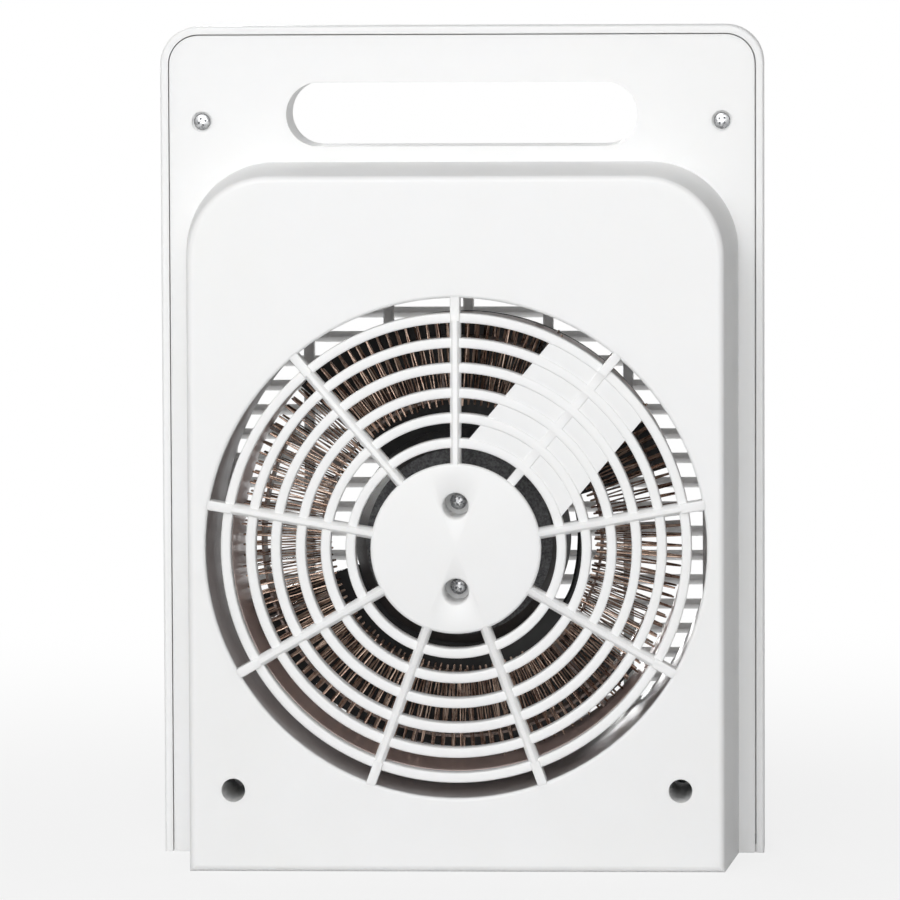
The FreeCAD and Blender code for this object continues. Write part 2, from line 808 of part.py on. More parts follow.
block_outer = ring_inner - d.block_clearance
block_inner = block_outer - d.block_radial
block_y = coil_front_y + d.coil_spacing / 2 - d.block_depth / 2
block_rear_y = block_y + d.block_depth
lead_y = block_rear_y - d.block_depth / 4


def ported_tube(label, inner, outer, low_y, high_y):
    tube = axis_rod(label + "Tube", outer, low_y, high_y)
    bore = axis_rod(label + "Bore", inner, low_y, high_y)
    start = inner - d.wall
    port = radial_rod(label + "Port", d.lead_port_radius, start, outer + d.wall, SHIELD_ANGLE, lead_y)
    return cut(label, tube, bore, port)


keep("air_duct", ported_tube("AirDuct", duct_inner, duct_outer, outlet_back_y, flange_y))
keep("element_ring", ported_tube("ElementRing", ring_inner, ring_outer, element_front_y, element_rear_y))
post_start = ring_outer + d.thread_clearance
post_end = duct_inner - d.thread_clearance
spacers = []
for step, post_angle in enumerate(SPACER_ANGLES):
    name = "Spacer%d" % step
    spacers.append(radial_rod(name, d.spacer_radius, post_start, post_end, post_angle, coil_front_y))
keep("ring_spacers", group("RingSpacers", *spacers))

# Mica: two upright bands that stop at the gap of the element, and radial arms between them

element_span = 360.0 - COIL_GAP_ANGLE
element_start = SHIELD_ANGLE + COIL_GAP_ANGLE / 2
element_end = element_start + element_span


def mica_band(label, radius):
    """An open band; a sector's own angle runs the other way, from the side."""
    item = doc.addObject("Part::Cylinder", label + "Outer")
    bind(item, "Radius", radius + d.mica_thickness / 2)
    bind(item, "Height", mica_height)
    item.Angle = element_span
    sector_start = FreeCAD.Rotation(FreeCAD.Vector(0, 0, 1), 270.0 - element_end)
    item.Placement.Rotation = ALONG["y"].multiply(sector_start)
    place(item, 0.0, mica_low_y, fan_z)
    bore = axis_rod(label + "Bore", radius - d.mica_thickness / 2, mica_low_y, mica_low_y + mica_height)
    keep(label, cut(label + "Cut", item, bore))


mica_inner = coil_inner + d.mica_inner_step
mica_outer = coil_outer - d.mica_outer_step
mica_edge = d.mica_thickness / 2 + d.mica_clearance
mica_band("mica_band_inner", mica_inner)
mica_band("mica_band_outer", mica_outer)
arm_spans = (
    (mica_inner + mica_edge, mica_outer - mica_edge),
    (mica_outer + mica_edge, ring_inner - d.mica_clearance),
)
arms = []
for step in range(ARM_COUNT):
    arm_angle = element_start + (step + 0.5) * element_span / ARM_COUNT
    for low, high in arm_spans:
        name = "MicaArm%d" % len(arms)
        arms.append(radial_block(name, d.mica_thickness, mica_height, low, high, arm_angle, mica_low_y))
keep("mica_arms", group("MicaArms", *arms))

# Terminal block with the thermal cutout and fuse on it, behind the shield strip

terminal_block = radial_block(
    "TerminalBlock", d.block_width, d.block_depth, block_inner, block_outer, SHIELD_ANGLE, block_y)
keep("terminal_block", terminal_block)
block_middle = float(block_inner + block_outer) / 2
thermal_shift = math.degrees(float(d.block_width) / 4 / block_middle)
cutout_spot = spot(block_middle, SHIELD_ANGLE - thermal_shift, 0.0)
cutout_z = cutout_spot.z - float(fan_z)
cutout_place = (cutout_spot.x, block_rear_y, fan_z + cutout_z)
keep("thermal_cutout", rod("ThermalCutout", d.cutout_radius, d.cutout_height, *cutout_place))
fuse_start = (block_inner + block_outer - d.fuse_length) / 2
fuse_y = block_rear_y + d.fuse_radius + d.thread_clearance
fuse_end = fuse_start + d.fuse_length
fuse_angle = SHIELD_ANGLE + thermal_shift
keep("thermal_fuse", radial_rod("ThermalFuse", d.fuse_radius, fuse_start, fuse_end, fuse_angle, fuse_y))

# Round wire bent along a path of straight runs and tangent arcs


def own_solid(label, shape):
    item = doc.addObject("Part::Feature", label)
    item.Shape = shape
    return keep(label, item)


def line(start, end):
    return Part.LineSegment(start, end).toShape()


def tangent_arc(start, corner, end, radius):
    """The arc that rounds the corner of two runs."""
    back = (start - corner).normalize()
    ahead = (end - corner).normalize()
    half_inside = back.getAngle(ahead) / 2
    reach = radius / math.tan(half_inside)
    centre = corner + (back + ahead).normalize() * (radius / math.sin(half_inside))
    nearest = centre + (corner - centre).normalize() * radius
    return Part.Arc(corner + back * reach, nearest, corner + ahead * reach).toShape()


def swept_wire(edges, radius, label):
    path = Part.Wire(edges)
    start = path.Edges[0]
    normal = start.tangentAt(start.FirstParameter)
    section = Part.Wire(Part.makeCircle(float(radius), start.valueAt(start.FirstParameter), normal))
    solid = path.makePipeShell([section], True, False)
    expected = math.pi * float(radius) ** 2 * path.Length
    share = solid.Volume / expected
    print("%s: length %.1f, volume %.4f of section times length" % (label, path.Length, share))
    return solid


LEAD_ARC_SHARE = 0.45


def lead(label, points):
    """A lead whose bends are as wide as their two runs allow."""
    edges = []
    here = points[0]
    radii = []
    for before, corner, after in zip(points, points[1:], points[2:]):
        run = min((corner - before).Length, (after - corner).Length)
        turn = (corner - before).getAngle(after - corner)
        radius = LEAD_ARC_SHARE * run / math.tan(turn / 2)
        arc = tangent_arc(before, corner, after, radius)
        edges += [line(here, arc.valueAt(arc.FirstParameter)), arc]
        here = arc.valueAt(arc.LastParameter)
        radii.append(round(radius, 1))
    edges.append(line(here, points[-1]))
    print(label, "bend radii", radii)
    own_solid(label, swept_wire(edges, d.lead_radius, label))


# Heating wire: each bank is one wire that runs in and out between two circles


def hairpin(radius, angle, half_step, y, outwards):
    """The round end between two neighbouring legs, as two arcs."""
    sine = math.sin(math.radians(half_step))
    centre_radius = radius / (1 + sine) if outwards else radius / (1 - sine)
    bend = centre_radius * sine
    touch = centre_radius * math.cos(math.radians(half_step))
    first = spot(touch, angle - half_step, y)
    last = spot(touch, angle + half_step, y)
    tip = spot(radius, angle, y)
    centre = spot(centre_radius, angle, y)
    arcs = []
    for start, end in ((first, tip), (tip, last)):
        halfway = centre + ((start - centre) + (end - centre)).normalize() * bend
        arcs.append(Part.Arc(start, halfway, end).toShape())
    return first, arcs, last


def least_gap(path, radius):
    """The smallest clear distance between stretches of a wire that aren't neighbours."""
    spacing = 4 * radius
    points = path.discretize(Distance=spacing)
    skip = 6
    least = math.inf
    for i, point in enumerate(points):
        for other in points[i + skip:]:
            if abs(point.x - other.x) < least and abs(point.z - other.z) < least:
                least = min(least, point.distanceToPoint(other))
    return least - 2 * radius


def block_contact(side):
    """Where the wire meets a side of the terminal block, square to it."""
    reach = math.hypot(block_middle, float(d.block_width) / 2)
    lean = math.degrees(math.atan2(float(d.block_width) / 2, block_middle))
    return reach, SHIELD_ANGLE + side * lean


def heating_coil(label, y):
    step = element_span / (2 * COIL_LOOPS - 1)
    leg_angles = [element_start + step * i for i in range(2 * COIL_LOOPS)]
    corner_radius = block_middle / math.cos(math.radians(COIL_GAP_ANGLE / 2))
    start = spot(*block_contact(1), y)
    corner = spot(corner_radius, element_start, y)
    inner_end = spot(coil_inner, element_start, y)
    arc = tangent_arc(start, corner, inner_end, float(d.wire_bend))
    edges = [line(start, arc.valueAt(arc.FirstParameter)), arc]
    here = arc.valueAt(arc.LastParameter)
    for i in range(2 * COIL_LOOPS - 1):
        outwards = i % 2 == 1
        radius = float(coil_outer if outwards else coil_inner)
        first, arcs, last = hairpin(radius, leg_angles[i] + step / 2, step / 2, y, outwards)
        edges.append(line(here, first))
        edges += arcs
        here = last
    corner = spot(corner_radius, element_end, y)
    end = spot(*block_contact(-1), y)
    arc = tangent_arc(here, corner, end, float(d.wire_bend))
    edges += [line(here, arc.valueAt(arc.FirstParameter)), arc]
    edges.append(line(arc.valueAt(arc.LastParameter), end))
    own_solid(label, swept_wire(edges, d.wire_radius, label))
    print("%s: least gap to itself %.2f" % (label, least_gap(Part.Wire(edges), float(d.wire_radius))))


heating_coil("heating_coil_rear", coil_rear_y)
heating_coil("heating_coil_front", coil_front_y)

# Motor: can with its rotor chamber, two bearings, shaft and rotor, under a conical cover

screw_places = [fan_z + side * d.hub_screw_spacing / 2 for side in (-1, 1)]
can = axis_rod("MotorCanBlank", d.motor_radius, motor_front_y, motor_rear_y)
chamber_low = motor_front_y + d.motor_wall
chamber_high = motor_rear_y - d.motor_wall
chamber = axis_rod("RotorChamber", d.rotor_radius + d.rotor_gap, chamber_low, chamber_high)
bearing_seat = axis_rod("BearingSeat", d.bearing_radius + d.thread_clearance, motor_front_y, motor_rear_y)
can_pilots = []
for i, z in enumerate(screw_places):
    can_pilots.append(rod("CanPilot%d" % i, pilot_hole, d.motor_wall, 0.0, chamber_high, z))
keep("motor_can", cut("MotorCan", can, chamber, bearing_seat, *can_pilots))
bearings = []
for name, low in (("FrontBearing", motor_front_y), ("RearBearing", chamber_high)):
    bush = axis_rod(name + "Blank", d.bearing_radius, low, low + d.motor_wall)
    bush_bore = axis_rod(name + "Bore", d.shaft_radius + d.shaft_fit, low, low + d.motor_wall)
    bearings.append(cut(name, bush, bush_bore))
keep("motor_bearings", group("MotorBearings", *bearings))
keep("motor_shaft", axis_rod("MotorShaft", d.shaft_radius, shaft_end_y, motor_rear_y - d.shaft_tip))
press_bore = d.shaft_radius + d.shaft_fit / 5
rotor_low = chamber_low + d.rotor_gap
rotor_high = chamber_high - d.rotor_gap
rotor_blank = axis_rod("RotorBlank", d.rotor_radius, rotor_low, rotor_high)
keep("motor_rotor", cut("MotorRotor", rotor_blank, axis_rod("RotorBore", press_bore, rotor_low, rotor_high)))


def axis_cone(name, low_radius, high_radius, low_y, high_y):
    item = doc.addObject("Part::Cone", name)
    bind(item, "Radius1", low_radius)
    bind(item, "Radius2", high_radius)
    bind(item, "Height", high_y - low_y)
    item.Placement.Rotation = ALONG["y"]
    return place(item, 0.0, low_y, fan_z)


cover_rear_y = cover_front_y + d.cover_length
cover_blank = axis_cone("CoverBlank", d.cover_radius, d.cover_mouth_radius, cover_front_y, cover_rear_y)
cover_inside = d.cover_radius - d.cover_thickness
mouth_inside = d.cover_mouth_radius - d.cover_thickness
shoulder_y = cover_rear_y - d.cover_thickness
cover_hollow = axis_cone("CoverHollow", cover_inside, mouth_inside, motor_front_y, shoulder_y)
cover_neck = axis_rod("CoverNeck", d.motor_radius + d.screw_clearance, shoulder_y, cover_rear_y)
cover_hole = axis_rod("CoverHole", d.bearing_radius, cover_front_y, motor_front_y)
lead_hole_radius = d.lead_radius + d.screw_clearance
hole_end = d.cover_radius + d.wall
lead_hole = radial_rod("CoverLeadHole", lead_hole_radius, d.motor_radius, hole_end, LEAD_EXIT_ANGLE, lead_y)
keep("motor_cover", cut("MotorCover", cover_blank, cover_hollow, cover_neck, cover_hole, lead_hole))

# Fan: two broad twisted paddles on a hub, held on the shaft by a nut

BLADE_SECTIONS = 9


def paddle(middle_angle):
    """A blade that falls evenly from one edge to the other as it goes round."""
    root = float(d.fan_hub_radius) - float(d.blade_thickness)
    tip = float(fan_radius)
    thickness = float(d.blade_thickness)
    fall = float(d.fan_depth) - thickness
    sections = []
    for i in range(BLADE_SECTIONS):
        share = i / (BLADE_SECTIONS - 1)
        angle = middle_angle + (share - 0.5) * float(d.blade_angle)
        low = float(fan_bottom_y) + share * fall
        corners = [spot(root, angle, low), spot(tip, angle, low)]
        corners += [spot(tip, angle, low + thickness), spot(root, angle, low + thickness)]
        sections.append(Part.makePolygon(corners + corners[:1]))
    return Part.makeLoft(sections, True, False)


def fan_shape():
    hub_start = FreeCAD.Vector(0, float(fan_bottom_y), float(fan_z))
    axis = FreeCAD.Vector(0, 1, 0)
    shape = Part.makeCylinder(float(d.fan_hub_radius), float(d.fan_depth), hub_start, axis)
    for i in range(BLADE_COUNT):
        shape = shape.fuse(paddle(float(d.blade_lead_angle) + i * 360.0 / BLADE_COUNT))
    bore = Part.makeCylinder(float(press_bore), float(d.fan_depth), hub_start, axis)
    return shape.cut(bore).removeSplitter()


own_solid("fan", fan_shape())
nut_blank = doc.addObject("Part::Prism", "FanNutBlank")
nut_blank.Polygon = 6
bind(nut_blank, "Circumradius", d.nut_radius)
bind(nut_blank, "Height", d.nut_height)
nut_blank.Placement.Rotation = ALONG["y"]
place(nut_blank, 0.0, nut_y, fan_z)
keep("fan_nut", cut("FanNut", nut_blank, axis_rod("NutBore", press_bore, nut_y, fan_bottom_y)))

# Controls: a rotary selector and a thermostat behind the front wall, their spindles and knobs

switch_rear_y = inner_front_y + d.switch_depth
spindle_y = knob_y + d.spindle_cap
spindle_end_y = switch_rear_y - d.spindle_cap


def control(prefix, side, body_blank):
    x = side * d.knob_spread
    bore_length = spindle_end_y + d.screw_clearance - inner_front_y
    bore = rod(prefix + "Bore", d.spindle_radius + d.shaft_fit, bore_length, x, inner_front_y, knob_z)
    spindle_length = spindle_end_y - spindle_y
    spindle = rod(prefix + "Spindle", d.spindle_radius, spindle_length, x, spindle_y, knob_z)
    keep(prefix + "_spindle", spindle)
    knob = new_body(prefix + "_knob")
    bind(knob, "Placement.Base.x", x)
    bind(knob, "Placement.Base.z", knob_z)
    knob_back_y = front_y - d.knob_gap
    skirt_y = knob_back_y - d.knob_skirt
    skirt = upright_sketch(knob, prefix + "Skirt", skirt_y)
    circle(skirt, d.knob_radius)
    pad(knob, skirt, d.knob_skirt)
    grip = upright_sketch(knob, prefix + "Grip", knob_y)
    grip_half = d.knob_radius - d.grip_round
    rectangle(grip, -d.grip_width / 2, d.grip_width / 2, -grip_half, grip_half)
    grip_pad = pad(knob, grip, skirt_y - knob_y)
    round_edges(knob, grip_pad, d.grip_round, lies_at(knob_y))
    socket = upright_sketch(knob, prefix + "Socket", spindle_y)
    circle(socket, d.spindle_radius + d.shaft_fit / 5)
    pocket(knob, socket, knob_back_y - spindle_y)
    return cut(prefix + "Cut", body_blank, bore)


selector_blank = rod("SelectorBlank", d.switch_radius, d.switch_depth, d.knob_spread, inner_front_y, knob_z)
keep("selector_switch", control("selector", 1, selector_blank))
half_thermostat = d.thermostat_width / 2
thermostat_blank = block("ThermostatBlank", d.thermostat_width, d.switch_depth, d.thermostat_width,
                         -d.knob_spread - half_thermostat, inner_front_y, knob_z - half_thermostat)
keep("thermostat", control("thermostat", -1, thermostat_blank))
lens_head = rod("LensHead", d.lens_radius + d.lens_rim, d.lens_height, 0.0, front_y - d.lens_height, knob_z)
lens_stem = rod("LensStem", d.lens_radius, d.lens_depth, 0.0, front_y, knob_z)
keep("indicator_lens", fuse("IndicatorLens", lens_head, lens_stem))
lamp_y = front_y + d.lens_depth
keep("indicator_lamp", rod("IndicatorLamp", d.lamp_radius, d.lamp_length, 0.0, lamp_y, knob_z))

# Cord gland, flush in the side wall and flanged inside

gland_inner_x = case_half - d.wall - d.gland_length
gland_plug = rod("GlandPlug", d.gland_radius, d.wall, case_half - d.wall, gland_y, d.gland_z, "x")
flange_size = d.gland_radius + d.gland_flange
bore_length = d.wall + d.gland_length
gland_flange = rod("GlandFlange", flange_size, d.gland_length, gland_inner_x, gland_y, d.gland_z, "x")
gland_bore = rod("GlandBore", d.gland_bore, bore_length, gland_inner_x, gland_y, d.gland_z, "x")
keep("cord_gland", cut("CordGland", fuse("GlandBlank", gland_plug, gland_flange), gland_bore))

# Screws with plain pan heads


def screw(name, x, seat_y, z, length):
    head = rod(name + "Head", d.screw_head_radius, d.screw_head_height, x, seat_y, z)
    shank = rod(name + "Shank", d.screw_radius, length, x, seat_y - length, z)
    return fuse(name, head, shank)


top_seat = parting_y - d.top_recess_depth
top_length = d.wall - d.top_recess_depth + d.screw_bite - d.screw_clearance
bottom_seat = bottom_floor_y + d.well_floor
bottom_length = d.well_floor + d.screw_bite - d.screw_clearance
top_screws = []
bottom_screws = []
for name, side in (("Left", 1), ("Right", -1)):
    top_screws.append(screw("TopScrew" + name, side * top_screw_x, top_seat, top_screw_z, top_length))
    bottom_x = side * bottom_screw_x
    bottom_screws.append(screw("BottomScrew" + name, bottom_x, bottom_seat, d.bottom_screw_z, bottom_length))
keep("case_screws_top", group("CaseScrewsTop", *top_screws))
keep("case_screws_bottom", group("CaseScrewsBottom", *bottom_screws))
hub_seat = motor_rear_y + d.well_floor
hub_length = d.well_floor + d.motor_wall - d.screw_clearance
hub_screws = [screw("HubScrew%d" % i, 0.0, hub_seat, z, hub_length) for i, z in enumerate(screw_places)]
keep("motor_screws", group("MotorScrews", *hub_screws))

# Leads inside the case: supply up the side to the controls, across to the element, on to the motor

side_x = float(case_half - d.shoulder)
gland_in_x = float(gland_inner_x + d.gland_length / 2)
pair_offset = float(d.gland_bore - d.lead_radius - d.mica_clearance)
control_y = float(switch_rear_y)
knob_line = float(knob_z)
spread = float(d.knob_spread)
run_y = float(gland_y)
low_z = float(d.gland_z)
hub_z = float(fan_z)
vector = FreeCAD.Vector
lead("supply_lead_live", [
    vector(gland_in_x, run_y, low_z + pair_offset),
    vector(side_x - 6, run_y, low_z + pair_offset),
    vector(side_x - 2, run_y, hub_z - 50),
    vector(side_x, run_y, hub_z),
    vector(side_x - 2, run_y, hub_z + 50),
    vector(side_x - 12, run_y - 1, knob_line - 16),
    vector(spread + 20, run_y - 2, knob_line - 2),
    vector(spread + 7, run_y - 3, knob_line),
    vector(spread + 7, control_y, knob_line),
])
lead("supply_lead_neutral", [
    vector(gland_in_x, run_y, low_z - pair_offset),
    vector(side_x - 6, run_y - 3, low_z - pair_offset),
    vector(side_x, run_y - 7, hub_z - 60),
    vector(side_x + 2, run_y - 7, hub_z - 5),
    vector(side_x, run_y - 7, hub_z + 50),
    vector(side_x - 10, run_y - 7, knob_line - 6),
    vector(spread + 12, run_y - 6, knob_line + 16),
    vector(5, run_y - 5, knob_line + 18),
    vector(8 - spread, run_y - 4, knob_line + 10),
    vector(4 - spread, run_y - 3, knob_line + 2),
    vector(4 - spread, control_y, knob_line + 2),
])
port_y = float(lead_y)
lead("element_lead", [
    vector(spread - 7, control_y, knob_line),
    vector(spread - 7, control_y + 15, knob_line),
    vector(5, control_y + 27, knob_line + 4),
    vector(-30, port_y - 2, knob_line + 2),
    vector(-58, port_y, knob_line - 12),
    spot(duct_outer + 15, SHIELD_ANGLE, port_y),
    spot(block_outer, SHIELD_ANGLE, port_y),
])
lane = float(coil_inner) - 2.5
lead("motor_lead", [
    spot(block_inner, SHIELD_ANGLE, port_y),
    spot(lane + 10, SHIELD_ANGLE, port_y),
    spot(lane, SHIELD_ANGLE + 22, port_y),
    spot(lane - 1, SHIELD_ANGLE + 44, port_y),
    spot(lane - 1, SHIELD_ANGLE + 62, port_y),
    spot(lane, LEAD_EXIT_ANGLE - 12, port_y),
    spot(lane, LEAD_EXIT_ANGLE, port_y),
    spot(d.motor_radius + d.screw_clearance, LEAD_EXIT_ANGLE, port_y),
])

# Every object has to be sound before anything is written

doc.recompute()
for item in doc.Objects:
    if "Invalid" in item.State or "Error" in item.State:
        raise RuntimeError("%s failed: %s" % (item.Name, item.State))
for label, item in parts.items():
    if item.Shape.isNull() or not item.Shape.isValid():
        raise RuntimeError("%s has no sound shape" % label)
os.makedirs("parts", exist_ok=True)
for label, item in parts.items():
    item.Shape.exportStep("parts/%s.step" % label)
print("%d sub-parts written" % len(parts))
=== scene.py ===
"""Looks of a white table fan heater, seen from its intake side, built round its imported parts."""

import math

import bmesh
import bpy
from mathutils import Matrix, Quaternion, Vector


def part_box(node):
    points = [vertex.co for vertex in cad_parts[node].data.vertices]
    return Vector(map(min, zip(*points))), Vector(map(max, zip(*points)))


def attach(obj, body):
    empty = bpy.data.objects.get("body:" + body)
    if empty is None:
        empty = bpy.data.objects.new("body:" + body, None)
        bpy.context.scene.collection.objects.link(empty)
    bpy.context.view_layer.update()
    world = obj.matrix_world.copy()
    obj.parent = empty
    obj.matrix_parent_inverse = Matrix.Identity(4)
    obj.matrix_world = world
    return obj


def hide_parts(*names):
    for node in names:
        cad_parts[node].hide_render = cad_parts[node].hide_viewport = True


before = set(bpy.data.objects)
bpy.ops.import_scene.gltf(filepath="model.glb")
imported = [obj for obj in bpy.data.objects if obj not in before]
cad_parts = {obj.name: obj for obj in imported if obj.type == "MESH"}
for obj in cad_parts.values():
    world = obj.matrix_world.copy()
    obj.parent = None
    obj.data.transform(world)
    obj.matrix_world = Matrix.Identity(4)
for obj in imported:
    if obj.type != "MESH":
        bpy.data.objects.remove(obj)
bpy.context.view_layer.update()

# Front shell: the front half of the case, with the handle tunnel, the outlet and the control panel.
# One injection moulding in white ABS, satin from the fine spark-eroded grain of the mould.

MM = 0.001


def linear(code):
    """An sRGB hex colour as the linear RGBA that shaders read."""
    parts = [int(code[i:i + 2], 16) / 255 for i in (1, 3, 5)]
    return (*[c / 12.92 if c <= 0.04045 else ((c + 0.055) / 1.055) ** 2.4 for c in parts], 1.0)


def add_node(tree, kind, inputs=None, **settings):
    """One node: settings are its properties, inputs hold plain values or the sockets that feed them."""
    node = tree.nodes.new(kind)
    for name, value in settings.items():
        setattr(node, name, value)
    for key, value in (inputs or {}).items():
        if isinstance(value, bpy.types.NodeSocket):
            tree.links.new(value, node.inputs[key])
        else:
            node.inputs[key].default_value = value
    return node


def new_material(name, **constants):
    """A material on one Principled shader, with what is the same all over set on its own sockets."""
    material = bpy.data.materials.new(name)
    material.use_nodes = True
    shader = material.node_tree.nodes["Principled BSDF"]
    for key, value in constants.items():
        shader.inputs[key.replace("_", " ")].default_value = value
    return material, material.node_tree, shader


def patches(tree, size_mm, stretch=(1, 1, 1), detail=2.0):
    """Soft patches of a real size, drawn out along an axis where the maker's work runs."""
    place = add_node(tree, "ShaderNodeTexCoord").outputs["Object"]
    drawn = add_node(tree, "ShaderNodeMapping", {"Vector": place, "Scale": stretch})
    return add_node(tree, "ShaderNodeTexNoise", {
        "Vector": drawn.outputs["Vector"], "Scale": 1 / (size_mm * MM), "Detail": detail}).outputs["Fac"]


def tint(tree, shader, amount, low, high):
    """Base colour that drifts between two colours with the patches."""
    ramp = add_node(tree, "ShaderNodeValToRGB", {"Fac": amount})
    for stop, position, colour in zip(ramp.color_ramp.elements, (0.32, 0.68), (low, high)):
        stop.position = position
        stop.color = linear(colour)
    tree.links.new(ramp.outputs["Color"], shader.inputs["Base Color"])


def polish(tree, shader, amount, low, high):
    """Roughness that drifts with the patches."""
    spread = add_node(tree, "ShaderNodeMapRange", {
        "Value": amount, "From Min": 0.3, "From Max": 0.7, "To Min": low, "To Max": high})
    tree.links.new(spread.outputs["Result"], shader.inputs["Roughness"])


def relief(tree, shader, amount, height_mm):
    """A fine relief that follows the patches."""
    bump = add_node(tree, "ShaderNodeBump", {"Height": amount, "Distance": height_mm * MM, "Strength": 1.0})
    tree.links.new(bump.outputs["Normal"], shader.inputs["Normal"])


def dress(material, *nodes):
    """Gives CAD pieces that keep their own shape a finish."""
    for name in nodes:
        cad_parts[name].material_slots[0].material = material


# Moulded white ABS lets a little light in, so that deep wells glow softly instead of going black.
# Its real grain is about 0.1 mm; it is drawn at 0.8 mm so that it softens the highlights in a picture.
white_abs, tree, shader = new_material(
    "moulded_white_abs", IOR=1.53, Subsurface_Weight=0.35, Subsurface_Scale=4 * MM,
    Subsurface_Radius=(1.0, 0.95, 0.9))
cloud = patches(tree, 45)
tint(tree, shader, cloud, "#F4F4F3", "#F7F7F7")
polish(tree, shader, cloud, 0.42, 0.5)
relief(tree, shader, patches(tree, 0.8, detail=1.0), 0.004)
dress(white_abs, "front_shell")

# Outlet grille: a frame with upright ribs and tilted louvres that throws the warm air down and out.
# One moulding in the same white ABS, held behind the shell's opening by its lip.

FRONT_VIEW = Matrix(((1, 0, 0, 0), (0, 0, -1, 0), (0, 1, 0, 0), (0, 0, 0, 1)))
CREASE = math.radians(38)
MERGE_GAP = 1e-4


def linked(name, data):
    """A mesh, lamp or camera stood in the scene."""
    item = bpy.data.objects.new(name, data)
    bpy.context.scene.collection.objects.link(item)
    return item


def baked(piece):
    """The piece with its modifiers worked into a plain mesh."""
    graph = bpy.context.evaluated_depsgraph_get()
    piece.data = bpy.data.meshes.new_from_object(piece.evaluated_get(graph))
    piece.modifiers.clear()
    return piece


def new_tree(name, sizes, repeats=False):
    """A tree that makes geometry, with a named input for each size, and a blank where it repeats one."""
    tree = bpy.data.node_groups.new(name, "GeometryNodeTree")
    tree.interface.new_socket("Shape", in_out="OUTPUT", socket_type="NodeSocketGeometry")
    if repeats:
        tree.interface.new_socket("Blank", in_out="INPUT", socket_type="NodeSocketGeometry")
    for key, value in sizes.items():
        kind = "NodeSocketInt" if isinstance(value, int) else "NodeSocketFloat"
        tree.interface.new_socket(key, in_out="INPUT", socket_type=kind)
    return tree, tree.nodes.new("NodeGroupInput").outputs


def close_tree(tree, shape, material):
    """Ends a tree in plain geometry with its finish."""
    real = add_node(tree, "GeometryNodeRealizeInstances", {"Geometry": shape})
    skin = add_node(tree, "GeometryNodeSetMaterial", {"Geometry": real.outputs[0], "Material": material})
    add_node(tree, "NodeGroupOutput", {0: skin.outputs[0]})


def cleaned(bm, mesh):
    """Puts a worked shape into its mesh, with doubles merged and faces turned outwards."""
    bmesh.ops.remove_doubles(bm, verts=bm.verts, dist=MERGE_GAP)
    bmesh.ops.recalc_face_normals(bm, faces=bm.faces)
    bm.to_mesh(mesh)
    bm.free()


def grown(name, tree, sizes, blank=None):
    """The plain piece that a tree makes from these sizes, in millimetres."""
    piece = linked(name, blank or bpy.data.meshes.new(name))
    modifier = piece.modifiers.new("growth", "NODES")
    modifier.node_group = tree
    for socket in tree.interface.items_tree:
        if socket.name in sizes:
            modifier[socket.identifier] = sizes[socket.name]
    bm = bmesh.new()
    bm.from_mesh(baked(piece).data)
    cleaned(bm, piece.data)
    return piece


def combined(piece, others, operation="UNION"):
    """One solid from several, which are used up."""
    for other in others:
        step = piece.modifiers.new("join", "BOOLEAN")
        step.solver = "MANIFOLD"
        step.operation = operation
        step.object = other
    baked(piece)
    for other in others:
        bpy.data.objects.remove(other)
    return piece


def fitted(piece, view, material, body, slot, *stood_for):
    """Stands a piece that was drawn in millimetres, facing the viewer, where it belongs, in metres."""
    mesh = piece.data
    mesh.transform(Matrix.Scale(MM, 4) @ view)
    mesh.materials.clear()
    mesh.materials.append(material)
    mesh.shade_smooth()
    mesh.set_sharp_from_angle(angle=CREASE)
    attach(piece, body)
    if stood_for:
        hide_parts(*stood_for)


grille_low, grille_high = (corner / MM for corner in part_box("front_grille"))
LIP_REACH = 1.7
LIP_THICKNESS = 1.4
FRAME_WIDTH = 3.0
FRAME_CORNER = 5.7
FRAME_EDGE = 0.6
LIP_EDGE = 0.2
SLAT_PITCH = 7.8
SLAT_THICKNESS = 2.0
SLAT_LEVEL = 37.0
SLAT_TILT = math.radians(17)
RIB_PITCH = 25.5
RIB_COUNT = 5
RIB_THICKNESS = 3.2
RIB_LEVEL = 35.0
BAR_DEPTH = 8.0
BAR_EDGE = 0.7
SHELL_WALL = 2.5
outlet_front = -grille_low.y
outlet_back = -grille_high.y
frame_half = grille_high.x - LIP_REACH
frame_low = grille_low.z + LIP_REACH
frame_high = grille_high.z - LIP_REACH
clear_low = frame_low + FRAME_WIDTH
clear_high = frame_high - FRAME_WIDTH
outlet_middle = (frame_low + frame_high) / 2
slat_count = int((clear_high - clear_low) // SLAT_PITCH)

hoop_sizes = {"width": 0.0, "height": 0.0, "corner": 0.0, "bar": 0.0, "deep": 0.0, "edge": 0.0}
hoop_tree, size = new_tree("outlet_hoop", hoop_sizes)
path = add_node(hoop_tree, "GeometryNodeCurvePrimitiveQuadrilateral", {
    "Width": size["width"], "Height": size["height"]})
path = add_node(hoop_tree, "GeometryNodeFilletCurve", {
    "Curve": path.outputs[0], "Count": 8, "Radius": size["corner"]}, mode="POLY")
section = add_node(hoop_tree, "GeometryNodeCurvePrimitiveQuadrilateral", {
    "Width": size["bar"], "Height": size["deep"]})
section = add_node(hoop_tree, "GeometryNodeFilletCurve", {
    "Curve": section.outputs[0], "Count": 3, "Radius": size["edge"]}, mode="POLY")
sweep = add_node(hoop_tree, "GeometryNodeCurveToMesh", {
    "Curve": path.outputs[0], "Profile Curve": section.outputs[0]})
close_tree(hoop_tree, sweep.outputs[0], white_abs)

